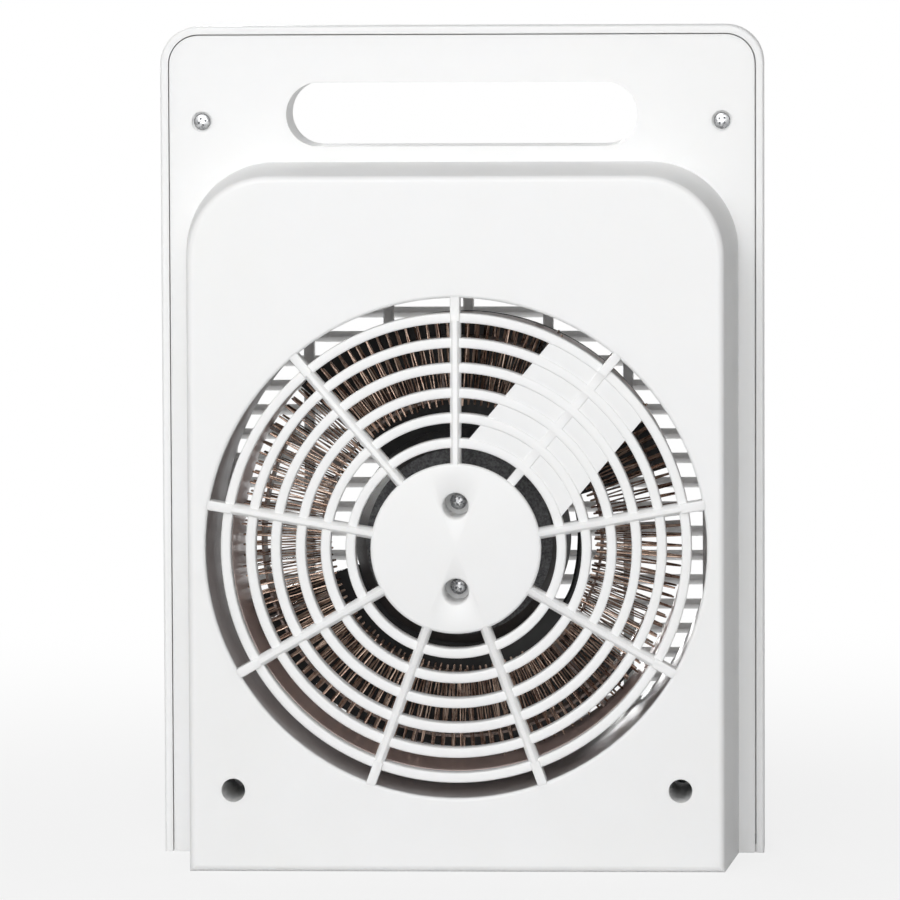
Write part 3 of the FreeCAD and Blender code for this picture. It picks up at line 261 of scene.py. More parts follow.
bar_sizes = {
    "count": 0, "across": 0.0, "deep": 0.0, "edge": 0.0, "length": 0.0, "x": 0.0, "y": 0.0, "level": 0.0,
    "step_x": 0.0, "step_y": 0.0, "run_x": 0.0, "run_y": 0.0, "tilt": 0.0}
bar_tree, size = new_tree("outlet_bars", bar_sizes)
section = add_node(bar_tree, "GeometryNodeCurvePrimitiveQuadrilateral", {
    "Width": size["across"], "Height": size["deep"]})
section = add_node(bar_tree, "GeometryNodeFilletCurve", {
    "Curve": section.outputs[0], "Count": 3, "Radius": size["edge"]}, mode="POLY")
along = add_node(bar_tree, "ShaderNodeCombineXYZ", {"X": size["run_x"], "Y": size["run_y"]})
path = add_node(bar_tree, "GeometryNodeCurvePrimitiveLine", {
    "Direction": along.outputs[0], "Length": size["length"]}, mode="DIRECTION")
bar = add_node(bar_tree, "GeometryNodeCurveToMesh", {
    "Curve": path.outputs[0], "Profile Curve": section.outputs[0], "Fill Caps": True})
start = add_node(bar_tree, "ShaderNodeCombineXYZ", {"X": size["x"], "Y": size["y"], "Z": size["level"]})
step = add_node(bar_tree, "ShaderNodeCombineXYZ", {"X": size["step_x"], "Y": size["step_y"]})
row = add_node(bar_tree, "GeometryNodeMeshLine", {
    "Count": size["count"], "Start Location": start.outputs[0], "Offset": step.outputs[0]})
turn = add_node(bar_tree, "ShaderNodeCombineXYZ", {"X": size["tilt"]})
bars = add_node(bar_tree, "GeometryNodeInstanceOnPoints", {
    "Points": row.outputs[0], "Instance": bar.outputs[0], "Rotation": turn.outputs[0]})
close_tree(bar_tree, bars.outputs[0], white_abs)

outlet_frame = grown("outlet_grille", hoop_tree, {
    "width": 2 * frame_half - FRAME_WIDTH, "height": frame_high - frame_low - FRAME_WIDTH,
    "corner": FRAME_CORNER - FRAME_WIDTH / 2, "bar": FRAME_WIDTH, "deep": outlet_front - outlet_back,
    "edge": FRAME_EDGE})
outlet_frame.data.transform(Matrix.Translation((0, outlet_middle, (outlet_front + outlet_back) / 2)))
lip_bar = FRAME_WIDTH + LIP_REACH
outlet_lip = grown("outlet_lip", hoop_tree, {
    "width": 2 * grille_high.x - lip_bar, "height": grille_high.z - grille_low.z - lip_bar,
    "corner": FRAME_CORNER + LIP_REACH - lip_bar / 2, "bar": lip_bar, "deep": LIP_THICKNESS,
    "edge": LIP_EDGE})
lip_level = outlet_front - SHELL_WALL - LIP_THICKNESS / 2
outlet_lip.data.transform(Matrix.Translation((0, outlet_middle, lip_level)))
slats = grown("outlet_slats", bar_tree, {
    "count": slat_count, "across": SLAT_THICKNESS, "deep": BAR_DEPTH, "edge": BAR_EDGE,
    "length": 2 * frame_half - FRAME_WIDTH, "x": FRAME_WIDTH / 2 - frame_half,
    "y": clear_low + SLAT_PITCH / 2, "level": SLAT_LEVEL, "step_x": 0.0, "step_y": SLAT_PITCH,
    "run_x": 1.0, "run_y": 0.0, "tilt": SLAT_TILT})
ribs = grown("outlet_ribs", bar_tree, {
    "count": RIB_COUNT, "across": RIB_THICKNESS, "deep": BAR_DEPTH, "edge": BAR_EDGE,
    "length": frame_high - frame_low - FRAME_WIDTH, "x": RIB_PITCH * (1 - RIB_COUNT) / 2,
    "y": frame_low + FRAME_WIDTH / 2, "level": RIB_LEVEL, "step_x": RIB_PITCH, "step_y": 0.0,
    "run_x": 0.0, "run_y": 1.0, "tilt": 0.0})
combined(outlet_frame, [outlet_lip, slats, ribs])

# Two millimetres of white ABS let daylight through, so the louvres' shaded backs stay a pale grey.
thin_abs, tree, shader = new_material(
    "thin_moulded_white_abs", IOR=1.53, Subsurface_Weight=1.0, Subsurface_Scale=9 * MM,
    Subsurface_Radius=(1.0, 0.97, 0.94))
cloud = patches(tree, 45)
tint(tree, shader, cloud, "#F5F5F4", "#F8F8F8")
polish(tree, shader, cloud, 0.42, 0.5)
fitted(outlet_frame, FRONT_VIEW, thin_abs, "case", "white_abs", "front_grille")

# Controls: a four-position selector switch and a round thermostat behind the panel, on plain spindles.
# Each turns a white knob with a bar grip; both knobs are moulded ABS pushed onto their spindles.

SKIRT_HEIGHT = 5.0
SKIRT_EDGE = 1.2
SKIRT_CHAMFER = 0.4
GRIP_HALF = 4.0
GRIP_REACH = 12.5
GRIP_TAPER = 0.6
GRIP_EDGE = 1.5
GRIP_ROOT = 1.0
POINTER_HALF = 0.6
POINTER_START = 4.0
POINTER_END = 9.6
INK_SUNK = 0.3
INK_PROUD = 0.05
KNOB_STEPS = 96


def arc(x, y, radius, start, end, steps=6):
    """Points along part of a circle, with its ends, by angles in degrees."""
    turns = [math.radians(start + (end - start) * i / steps) for i in range(steps + 1)]
    return [(x + radius * math.cos(t), y + radius * math.sin(t)) for t in turns]


def piece_of(name, bm):
    """A piece in the scene from a worked shape."""
    mesh = bpy.data.meshes.new(name)
    cleaned(bm, mesh)
    return linked(name, mesh)


def lathed(name, outline, steps):
    """A turned shape: the outline's points are (radius, height) and start and end on the axis."""
    bm = bmesh.new()
    verts = [bm.verts.new((radius, 0, height)) for radius, height in outline]
    edges = [bm.edges.new(pair) for pair in zip(verts, verts[1:])]
    bmesh.ops.spin(bm, geom=verts + edges, axis=(0, 0, 1), angle=2 * math.pi, steps=steps)
    return piece_of(name, bm)


def lofted(name, sections):
    """A closed skin through rings of points, one behind the other."""
    bm = bmesh.new()
    rings = [[bm.verts.new(point) for point in section] for section in sections]
    for near, far in zip(rings, rings[1:]):
        for i in range(len(near)):
            bm.faces.new((near[i - 1], near[i], far[i], far[i - 1]))
    bm.faces.new(rings[0])
    bm.faces.new(rings[-1])
    return piece_of(name, bm)


def grip_ring(inset, level):
    """The grip's plan, a bar with round ends, drawn in by an inset."""
    half = GRIP_HALF - inset
    straight = GRIP_REACH - GRIP_HALF
    plan = arc(0, straight, half, 0, 180, 10) + arc(0, -straight, half, 180, 360, 10)
    return [(x, y, level) for x, y in plan]


# Spindles are turned from plain steel, which stays dull grey under its oil.
motor_steel, tree, shader = new_material("plain_motor_steel", Metallic=1.0)
grain = patches(tree, 3)
tint(tree, shader, grain, "#8E8F91", "#A6A7A9")
polish(tree, shader, grain, 0.3, 0.42)
dress(motor_steel, "selector_spindle", "thermostat_spindle")

# Black glass-filled nylon has a dull bloom of fibres on an even black.
black_nylon, tree, shader = new_material("black_glass_filled_nylon", IOR=1.53)
fibres = patches(tree, 1.2, detail=3.0)
tint(tree, shader, fibres, "#0D0D0E", "#161617")
polish(tree, shader, fibres, 0.34, 0.46)
dress(black_nylon, "selector_switch", "thermostat")

# Satin knob plastic is a shade greyer than the case and a little smoother where fingers polish it.
knob_abs, tree, shader = new_material("satin_knob_abs", IOR=1.53)
cloud = patches(tree, 12)
tint(tree, shader, cloud, "#E2E2E0", "#E9E9E8")
polish(tree, shader, cloud, 0.3, 0.4)

# Pad-printed grey ink stands a hair proud and is matt.
grey_ink, tree, shader = new_material("pad_printed_grey_ink", Roughness=0.6)
tint(tree, shader, patches(tree, 0.8), "#55575A", "#606265")

for label, body in (("selector", "selector"), ("thermostat", "thermostat_dial")):
    knob_low, knob_high = (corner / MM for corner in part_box(label + "_knob"))
    radius = (knob_high.x - knob_low.x) / 2
    centre = (knob_low + knob_high) / 2
    depth = knob_high.y - knob_low.y
    view = FRONT_VIEW @ Matrix.Translation((centre.x, centre.z, -knob_high.y))
    skirt = lathed(label + "_grip_knob", [
        (0, 0), (radius - SKIRT_CHAMFER, 0), (radius, SKIRT_CHAMFER),
        *arc(radius - SKIRT_EDGE, SKIRT_HEIGHT - SKIRT_EDGE, SKIRT_EDGE, 0, 90),
        (0, SKIRT_HEIGHT)], KNOB_STEPS)
    rounding = arc(GRIP_TAPER + GRIP_EDGE, depth - GRIP_EDGE, GRIP_EDGE, 180, 90)
    grip = lofted("grip", [grip_ring(0.0, SKIRT_HEIGHT - GRIP_ROOT)]
                  + [grip_ring(inset, level) for inset, level in rounding])
    combined(skirt, [grip])
    fitted(skirt, view, knob_abs, body, "knob_plastic", label + "_knob")
    line = lofted(label + "_pointer", [
        [(-POINTER_HALF, POINTER_START, level), (POINTER_HALF, POINTER_START, level),
         (POINTER_HALF, POINTER_END, level), (-POINTER_HALF, POINTER_END, level)]
        for level in (depth - INK_SUNK, depth + INK_PROUD)])
    fitted(line, view, grey_ink, body, "black_plastic")

# Dial marks: strokes that grow with the heat, one for each position of the selector switch and a
# scale round the thermostat. They are pad-printed on the panel in the pointers' grey ink.

DIAL_RADIUS = 15.0
TICK_SHORT = 0.8
TICK_LONG = 2.4
TICK_WIDTH = 0.7
TICK_DEPTH = 0.3
TICK_SUNK = 0.1

tick_sizes = {
    "count": 0, "first": 0.0, "last": 0.0, "radius": 0.0, "short": 0.0, "long": 0.0, "width": 0.0,
    "deep": 0.0}
tick_tree, size = new_tree("dial_ticks", tick_sizes)
index = add_node(tick_tree, "GeometryNodeInputIndex").outputs[0]
steps = add_node(tick_tree, "ShaderNodeMath", {0: size["count"], 1: 1.0}, operation="SUBTRACT").outputs[0]
share = add_node(tick_tree, "ShaderNodeMath", {0: index, 1: steps}, operation="DIVIDE").outputs[0]
angle = add_node(tick_tree, "ShaderNodeMapRange", {
    "Value": share, "To Min": size["first"], "To Max": size["last"]}).outputs[0]
length = add_node(tick_tree, "ShaderNodeMapRange", {
    "Value": share, "To Min": size["short"], "To Max": size["long"]}).outputs[0]
middle = add_node(tick_tree, "ShaderNodeMath", {
    0: length, 1: 0.5, 2: size["radius"]}, operation="MULTIPLY_ADD").outputs[0]
sine = add_node(tick_tree, "ShaderNodeMath", {0: angle}, operation="SINE").outputs[0]
cosine = add_node(tick_tree, "ShaderNodeMath", {0: angle}, operation="COSINE").outputs[0]
x = add_node(tick_tree, "ShaderNodeMath", {0: sine, 1: middle}, operation="MULTIPLY").outputs[0]
y = add_node(tick_tree, "ShaderNodeMath", {0: cosine, 1: middle}, operation="MULTIPLY").outputs[0]
spot = add_node(tick_tree, "ShaderNodeCombineXYZ", {"X": x, "Y": y}).outputs[0]
points = add_node(tick_tree, "GeometryNodeMeshLine", {"Count": size["count"]}).outputs[0]
points = add_node(tick_tree, "GeometryNodeSetPosition", {"Geometry": points, "Position": spot}).outputs[0]
block = add_node(tick_tree, "GeometryNodeMeshCube", {"Size": (1.0, 1.0, 1.0)}).outputs[0]
turn = add_node(tick_tree, "ShaderNodeMath", {0: angle, 1: -1.0}, operation="MULTIPLY").outputs[0]
turn = add_node(tick_tree, "ShaderNodeCombineXYZ", {"Z": turn}).outputs[0]
stretch = add_node(tick_tree, "ShaderNodeCombineXYZ", {
    "X": size["width"], "Y": length, "Z": size["deep"]}).outputs[0]
ticks = add_node(tick_tree, "GeometryNodeInstanceOnPoints", {
    "Points": points, "Instance": block, "Rotation": turn, "Scale": stretch}).outputs[0]
close_tree(tick_tree, ticks, grey_ink)

for label, count, first, last in (("selector", 4, 0, 135), ("thermostat", 13, -135, 135)):
    knob_low, knob_high = (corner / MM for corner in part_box(label + "_knob"))
    centre = (knob_low + knob_high) / 2
    marks = grown(label + "_marks", tick_tree, {
        "count": count, "first": math.radians(first), "last": math.radians(last), "radius": DIAL_RADIUS,
        "short": TICK_SHORT, "long": TICK_LONG, "width": TICK_WIDTH, "deep": TICK_DEPTH})
    panel = FRONT_VIEW @ Matrix.Translation((centre.x, centre.z, outlet_front - TICK_SUNK))
    fitted(marks, panel, grey_ink, "case", "black_plastic")

# Indicator: an amber lens in the panel over a small neon lamp.
# The lens is clear polycarbonate pushed into its hole from the front.

# Tinted polycarbonate is glossy and lets the glow through.
amber, tree, shader = new_material(
    "amber_polycarbonate", Roughness=0.12, IOR=1.58, Transmission_Weight=0.6)
tint(tree, shader, patches(tree, 3), "#D9641A", "#F08A2C")
dress(amber, "indicator_lens", "indicator_lamp")

# Cord gland and inner leads: the bushed cord entry in the side wall, and the wires inside the case.
# The gland is moulded with the case's white; the leads are stranded copper in silicone sleeves.

dress(white_abs, "cord_gland")

# Silicone sleeves are soft and matt, with hardly a highlight.
black_sleeve, tree, shader = new_material("black_silicone_sleeve", Roughness=0.5)
tint(tree, shader, patches(tree, 3), "#101011", "#1A1A1B")
dress(black_sleeve, "motor_lead", "supply_lead_live")
white_sleeve, tree, shader = new_material("white_silicone_sleeve", Roughness=0.5)
tint(tree, shader, patches(tree, 3), "#D6D6D3", "#E4E4E2")
dress(white_sleeve, "supply_lead_neutral", "element_lead")

# Air duct: the tube that leads the air from the intake through the element to the fan.
# Rolled from galvanised steel sheet and held between the outlet grille and the intake grille's flange.

# Zinc keeps a pale bloom with a faint spangle, so it scatters far more light than it mirrors.
duct_steel, tree, shader = new_material("galvanised_steel", Metallic=0.1)
spangle = patches(tree, 9, detail=1.0)
tint(tree, shader, spangle, "#E2E2E2", "#EEEEEE")
polish(tree, shader, spangle, 0.46, 0.58)
dress(duct_steel, "air_duct")

# Element ring: the inner tube round the heating wire, on short ceramic posts in the duct.
# Rolled from thin steel strip, with ports for the leads.

# Steel that has been hot has a straw bloom, which softens its sheen; its pinkish colour is partly that tint
# and partly a painted reflection of the brown coil inside it.
tint_and_coil_reflection_steel, tree, shader = new_material("heat_tint_and_painted_coil_reflection_steel", Metallic=0.15)
bloom = patches(tree, 14, detail=1.0)
tint(tree, shader, bloom, "#DEC8C3", "#E8D4CF")
polish(tree, shader, bloom, 0.28, 0.38)
dress(tint_and_coil_reflection_steel, "element_ring")

# Unglazed steatite is a dry, chalky ceramic.
steatite, tree, shader = new_material("unglazed_steatite", Roughness=0.65)
tint(tree, shader, patches(tree, 2), "#CFC6B8", "#DDD6CA")
dress(steatite, "ring_spacers")

# Terminal block: the ceramic block that joins the element to its leads, in the gap of the windings.
# It carries the thermal cut-out and the thermal fuse, both in tinned metal cans.

dress(steatite, "terminal_block")

# Tinned brass is bright but dulls in patches.
tinned, tree, shader = new_material("tinned_brass", Metallic=1.0)
dull = patches(tree, 1.5)
tint(tree, shader, dull, "#A8A8AA", "#C2C2C4")
polish(tree, shader, dull, 0.22, 0.36)
dress(tinned, "thermal_cutout", "thermal_fuse")

# Mica frame: two bands and six arms that hold the two banks of wire apart.
# Cut from pressed mica sheet, with the arms set on edge between the bands.

# Pressed mica is brown, flaky and slightly shiny.
mica, tree, shader = new_material("pressed_mica", IOR=1.58)
flakes = patches(tree, 0.9, detail=4.0)
tint(tree, shader, flakes, "#5A463D", "#A8948A")
polish(tree, shader, flakes, 0.3, 0.5)
relief(tree, shader, flakes, 0.3)
dress(mica, "mica_band_inner", "mica_band_outer", "mica_arms")

# Heating coils: two banks of resistance wire bent to and fro across the mica, one behind the other.
# Nichrome, tinted brown by heat, with its ends taken to the sides of the terminal block.

REAR_VIEW = Matrix(((-1, 0, 0, 0), (0, 0, 1, 0), (0, 1, 0, 0), (0, 0, 0, 1)))
duct_low, duct_high = (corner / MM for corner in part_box("air_duct"))
axis_z = (duct_low.z + duct_high.z) / 2
on_axis = REAR_VIEW @ Matrix.Translation((0, axis_z, 0))
GAP_START = math.radians(52)
GAP_END = math.radians(388)
COIL_LOOPS = 122
COIL_INNER = 39.9
COIL_OUTER = 71.6
BLOCK_MIDDLE = 62.5
WIRE_RADIUS = 0.25
WIRE_BEND = 0.1
WIRE_LEAN = math.radians(0.3)
WIRE_WANDER = 0.5
FIRST_SEED = 5

# Nichrome that has glowed keeps a brown oxide skin, brighter where the bends rub.
nichrome, tree, shader = new_material("heat_tinted_nichrome", Metallic=1.0)
oxide = patches(tree, 3, detail=3.0)
tint(tree, shader, oxide, "#765F53", "#BFA898")
polish(tree, shader, oxide, 0.22, 0.34)

coil_sizes = {
    "loops": 0, "start": 0.0, "end": 0.0, "inner": 0.0, "outer": 0.0, "end_radius": 0.0, "wire": 0.0,
    "bend": 0.0, "lean": 0.0, "wander": 0.0, "seed": 0}
coil_tree, size = new_tree("bent_wire", coil_sizes)
legs = add_node(coil_tree, "ShaderNodeMath", {0: size["loops"], 1: 2.0}, operation="MULTIPLY").outputs[0]
tips = add_node(coil_tree, "ShaderNodeMath", {0: legs, 1: 1.0}, operation="ADD").outputs[0]
index = add_node(coil_tree, "GeometryNodeInputIndex").outputs[0]
share = add_node(coil_tree, "ShaderNodeMath", {0: index, 1: legs}, operation="DIVIDE").outputs[0]
even = add_node(coil_tree, "ShaderNodeMapRange", {
    "Value": share, "To Min": size["start"], "To Max": size["end"]}).outputs[0]
less = add_node(coil_tree, "ShaderNodeMath", {0: size["lean"], 1: -1.0}, operation="MULTIPLY").outputs[0]
swing = add_node(coil_tree, "FunctionNodeRandomValue", {
    2: less, 3: size["lean"], 8: size["seed"]}).outputs[1]
angle = add_node(coil_tree, "ShaderNodeMath", {0: even, 1: swing}, operation="ADD").outputs[0]
side = add_node(coil_tree, "ShaderNodeMath", {0: index, 1: 2.0}, operation="MODULO").outputs[0]
reach = add_node(coil_tree, "ShaderNodeMapRange", {
    "Value": side, "To Min": size["inner"], "To Max": size["outer"]}).outputs[0]
uneven = add_node(coil_tree, "FunctionNodeRandomValue", {3: size["wander"], 8: size["loops"]}).outputs[1]
reach = add_node(coil_tree, "ShaderNodeMath", {0: reach, 1: uneven}, operation="ADD").outputs[0]
rise = add_node(coil_tree, "FunctionNodeRandomValue", {3: size["wander"], 8: size["seed"]}).outputs[1]
line = add_node(coil_tree, "GeometryNodeMeshLine", {"Count": tips})
wire = add_node(coil_tree, "GeometryNodeMeshToCurve", {"Mesh": line.outputs[0]}).outputs[0]
at_ends = add_node(coil_tree, "GeometryNodeCurveEndpointSelection").outputs[0]
for turned, radius, height, chosen in (
        (angle, reach, rise, True), (even, size["end_radius"], 0.0, at_ends)):
    sine = add_node(coil_tree, "ShaderNodeMath", {0: turned}, operation="SINE").outputs[0]
    cosine = add_node(coil_tree, "ShaderNodeMath", {0: turned}, operation="COSINE").outputs[0]
    x = add_node(coil_tree, "ShaderNodeMath", {0: sine, 1: radius}, operation="MULTIPLY").outputs[0]
    y = add_node(coil_tree, "ShaderNodeMath", {0: cosine, 1: radius}, operation="MULTIPLY").outputs[0]
    spot = add_node(coil_tree, "ShaderNodeCombineXYZ", {"X": x, "Y": y, "Z": height}).outputs[0]
    wire = add_node(coil_tree, "GeometryNodeSetPosition", {
        "Geometry": wire, "Selection": chosen, "Position": spot}).outputs[0]
wire = add_node(coil_tree, "GeometryNodeFilletCurve", {
    "Curve": wire, "Count": 3, "Radius": size["bend"], "Limit Radius": True}, mode="POLY").outputs[0]
section = add_node(coil_tree, "GeometryNodeCurvePrimitiveCircle", {
    "Resolution": 6, "Radius": size["wire"]})
wire = add_node(coil_tree, "GeometryNodeCurveToMesh", {
    "Curve": wire, "Profile Curve": section.outputs[0], "Fill Caps": True}).outputs[0]
close_tree(coil_tree, wire, nichrome)

for number, node in enumerate(("heating_coil_rear", "heating_coil_front")):
    coil_low, coil_high = (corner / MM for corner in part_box(node))
    half_pitch = (GAP_END - GAP_START) / COIL_LOOPS / 2 * number
    bank = grown(node.replace("coil", "wire"), coil_tree, {
        "loops": COIL_LOOPS, "start": GAP_START + half_pitch, "end": GAP_END - half_pitch,
        "inner": COIL_INNER, "outer": COIL_OUTER, "end_radius": BLOCK_MIDDLE, "wire": WIRE_RADIUS,
        "bend": WIRE_BEND, "lean": WIRE_LEAN, "wander": WIRE_WANDER, "seed": FIRST_SEED + number})
    fitted(bank, on_axis @ Matrix.Translation((0, 0, (coil_low.y + coil_high.y) / 2)), nichrome,
           "case", "nichrome", node)

# Motor: a small shaded-pole motor in a steel can, hung from the grille's hub under a grey cup.
# The cup is moulded polypropylene with a coarse grain; the bearings are sintered bronze.

dress(motor_steel, "motor_can", "motor_shaft", "motor_rotor")

# Sintered bronze is a dull, grainy gold.
bronze, tree, shader = new_material("sintered_bronze", Metallic=1.0, Roughness=0.45)
tint(tree, shader, patches(tree, 0.6), "#8E6A3A", "#B08A50")
dress(bronze, "motor_bearings")

# Grained polypropylene is a speckled dark grey; the grain is drawn at 0.7 mm so that it shows.
grey_cover, tree, shader = new_material("grained_grey_polypropylene")
grain = patches(tree, 0.7, detail=3.0)
tint(tree, shader, grain, "#333436", "#6C6D6F")
polish(tree, shader, grain, 0.42, 0.6)
relief(tree, shader, grain, 0.12)
dress(grey_cover, "motor_cover")

# Fan: two broad paddles on one hub that draw the air in and push it out through the louvres.
# Moulded in black glass-filled nylon and held on the motor's shaft by a plain steel nut.

dress(black_nylon, "fan")
dress(motor_steel, "fan_nut")

# Intake grille: hub, six rings, nine spokes and a solid strip that shields the terminals from fingers.
# One white ABS moulding; the spokes stand proud, with a flat crest and sloped sides.
# Two wells in the hub take the motor's screws.

grid_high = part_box("rear_grille")[1] / MM
RING_COUNT = 6
RING_PITCH = 7.7
RING_FIRST = 32.5
RING_WIDTH = 3.0
RING_DEPTH = 7.0
RING_EDGE = 0.55
RING_STEPS = 180
SPOKE_PROUD = 1.1
RING_TOP = grid_high.y - SPOKE_PROUD
SPOKE_COUNT = 9
SPOKE_HALF = 1.65
SPOKE_CREST = 0.75
SPOKE_SLOPE = 1.8
SPOKE_TOP = grid_high.y
SPOKE_END = 71.4
SPOKE_LIFT = 0.4
SPOKE_FOOT = RING_TOP - RING_DEPTH + SPOKE_LIFT
SPOKE_ROOT = 0.7
SPOKE_DIP = 0.15
CREST_OUT = 0.1
CREST_IN = 0.2
CREST_DROP = 0.25
END_TURN = 84
END_SINK = 0.75
BAR_FOOT = 48.3
OUTER_BAR_START = 70.2
OUTER_BAR_END = 78.6
OUTER_BAR_TOP = grid_high.y - 0.1
OUTER_BAR_EDGE = 0.35
LOW_SPOKE_ROOT = 2.0
LOW_SPOKE_END = 70.5
LOW_SPOKE_TOP = RING_TOP - 0.05
LOW_SPOKE_EDGE = 0.3
FLANGE_RADIUS = 78.5
FLANGE_WIDTH = 2.2
FLANGE_DEPTH = 2.0
FLANGE_EDGE = 0.3
FLANGE_TOP = 53.5
SHIELD_PLACE = 1
SHIELD_STEPS = 120
SHIELD_HALF = 18.5
SHIELD_START = 24.0
SHIELD_END = 69.9
SHIELD_LOW = 52.9
SHIELD_HIGH = 54.4
HUB_RADIUS = 26.3
HUB_TOP = grid_high.y
HUB_THICKNESS = 2.6
HUB_EDGE = 1.0
HUB_CHAMFER = 0.3
HUB_STEPS = 144
hub_low = HUB_TOP - HUB_THICKNESS
WELL_OFFSET = 13.2
WELL_RADIUS = 4.0
WELL_FLOOR = 36.0
WELL_MOUTH = 0.6
MOUTH_BEND_OUT = 0.2
MOUTH_BEND_DROP = 0.22
WELL_STEPS = 48
CUT_MARGIN = 1.0
POST_WALL = 1.6
POST_RADIUS = WELL_RADIUS + POST_WALL
POST_FOOT = 33.5
POST_TOP = 55.0

ring_sizes = {"count": 0, "first": 0.0, "pitch": 0.0, "width": 0.0, "deep": 0.0, "edge": 0.0, "top": 0.0}
ring_tree, size = new_tree("grille_rings", ring_sizes)
index = add_node(ring_tree, "GeometryNodeInputIndex").outputs[0]
radius = add_node(ring_tree, "ShaderNodeMath", {
    0: index, 1: size["pitch"], 2: size["first"]}, operation="MULTIPLY_ADD").outputs[0]
drop = add_node(ring_tree, "ShaderNodeMath", {
    0: size["deep"], 1: -0.5, 2: size["top"]}, operation="MULTIPLY_ADD").outputs[0]
level = add_node(ring_tree, "ShaderNodeCombineXYZ", {"Z": drop}).outputs[0]
points = add_node(ring_tree, "GeometryNodeMeshLine", {
    "Count": size["count"], "Start Location": level, "Offset": (0.0, 0.0, 0.0)}).outputs[0]
circle = add_node(ring_tree, "GeometryNodeCurvePrimitiveCircle", {
    "Resolution": RING_STEPS, "Radius": 1.0}).outputs[0]
spread = add_node(ring_tree, "ShaderNodeCombineXYZ", {"X": radius, "Y": radius, "Z": 1.0}).outputs[0]
circles = add_node(ring_tree, "GeometryNodeInstanceOnPoints", {
    "Points": points, "Instance": circle, "Scale": spread}).outputs[0]
circles = add_node(ring_tree, "GeometryNodeRealizeInstances", {"Geometry": circles}).outputs[0]
section = add_node(ring_tree, "GeometryNodeCurvePrimitiveQuadrilateral", {
    "Width": size["width"], "Height": size["deep"]})
section = add_node(ring_tree, "GeometryNodeFilletCurve", {
    "Curve": section.outputs[0], "Count": 4, "Radius": size["edge"]}, mode="POLY")
rings = add_node(ring_tree, "GeometryNodeCurveToMesh", {
    "Curve": circles, "Profile Curve": section.outputs[0]}).outputs[0]
close_tree(ring_tree, rings, white_abs)

spread_sizes = {"count": 0, "skipped": 0}
spread_tree, size = new_tree("spread_round_hub", spread_sizes, repeats=True)
index = add_node(spread_tree, "GeometryNodeInputIndex").outputs[0]
turn = add_node(spread_tree, "ShaderNodeMath", {
    0: -2 * math.pi, 1: size["count"]}, operation="DIVIDE").outputs[0]
turn = add_node(spread_tree, "ShaderNodeMath", {0: index, 1: turn}, operation="MULTIPLY").outputs[0]
turn = add_node(spread_tree, "ShaderNodeCombineXYZ", {"Z": turn}).outputs[0]
kept = add_node(spread_tree, "FunctionNodeCompare", {2: index, 3: size["skipped"]},
                data_type="INT", operation="NOT_EQUAL").outputs[0]
points = add_node(spread_tree, "GeometryNodeMeshLine", {
    "Count": size["count"], "Offset": (0.0, 0.0, 0.0)}).outputs[0]
copies = add_node(spread_tree, "GeometryNodeInstanceOnPoints", {
    "Points": points, "Selection": kept, "Instance": size["Blank"], "Rotation": turn}).outputs[0]
close_tree(spread_tree, copies, white_abs)


def bar_section(distance, top, edge):
    """The cross-section of a plain bar that runs out from the hub, with its upper edges rounded."""
    half = RING_WIDTH / 2
    right = arc(half - edge, top - edge, edge, 0, 90, 5)
    left = arc(edge - half, top - edge, edge, 90, 180, 5)
    return [(x, distance, level) for x, level in [(half, BAR_FOOT), *right, *left, (-half, BAR_FOOT)]]


def ridge_section(distance, narrow, top):
    """The cross-section of a spoke: a flat crest, a slope to each side and upright flanks."""
    half = SPOKE_HALF * narrow
    crest = SPOKE_CREST * narrow
    right = [
        (half, SPOKE_FOOT), (half, top - SPOKE_SLOPE), (crest + CREST_OUT, top - CREST_DROP),
        (crest - CREST_IN, top)]
    left = [(-x, level) for x, level in reversed(right)]
    return [(x, distance, level) for x, level in right + left]


def ridge_end(steps=6):
    """The spoke's round outer end, which sinks a little towards its ring."""
    sections = []
    for i in range(steps + 1):
        turn = math.radians(END_TURN * i / steps)
        narrow = math.cos(turn)
        top = SPOKE_TOP - SPOKE_PROUD * END_SINK * (1 - narrow)
        distance = SPOKE_END - SPOKE_HALF * (1 - math.sin(turn))
        sections.append(ridge_section(distance, narrow, top))
    return sections


rings = grown("rings", ring_tree, {
    "count": RING_COUNT, "first": RING_FIRST, "pitch": RING_PITCH, "width": RING_WIDTH,
    "deep": RING_DEPTH, "edge": RING_EDGE, "top": RING_TOP})
flange = grown("flange", ring_tree, {
    "count": 1, "first": FLANGE_RADIUS, "pitch": 0.0, "width": FLANGE_WIDTH,
    "deep": FLANGE_DEPTH, "edge": FLANGE_EDGE, "top": FLANGE_TOP})
spoke = lofted("spoke", [
    ridge_section(HUB_RADIUS - SPOKE_ROOT, 1.0, SPOKE_TOP - SPOKE_DIP), *ridge_end()])
spokes = grown("spokes", spread_tree, {"count": SPOKE_COUNT, "skipped": SHIELD_PLACE}, spoke.data)
bar = lofted("bar", [
    bar_section(distance, OUTER_BAR_TOP, OUTER_BAR_EDGE) for distance in (OUTER_BAR_START, OUTER_BAR_END)])
outer_bars = grown("outer_bars", spread_tree, {"count": SPOKE_COUNT, "skipped": -1}, bar.data)
shield_turn = Matrix.Rotation(-2 * math.pi * SHIELD_PLACE / SPOKE_COUNT, 4, "Z")
shield = lofted("shield", [
    [(-SHIELD_HALF, distance, SHIELD_LOW), (SHIELD_HALF, distance, SHIELD_LOW),
     (SHIELD_HALF, distance, SHIELD_HIGH), (-SHIELD_HALF, distance, SHIELD_HIGH)]
    for distance in (SHIELD_START, SHIELD_END)])
shield_bore = lathed("shield_bore", [
    (0, SHIELD_LOW - CUT_MARGIN), (RING_FIRST, SHIELD_LOW - CUT_MARGIN),
    (RING_FIRST, SHIELD_HIGH + CUT_MARGIN), (0, SHIELD_HIGH + CUT_MARGIN)], SHIELD_STEPS)
combined(shield, [shield_bore], "DIFFERENCE")
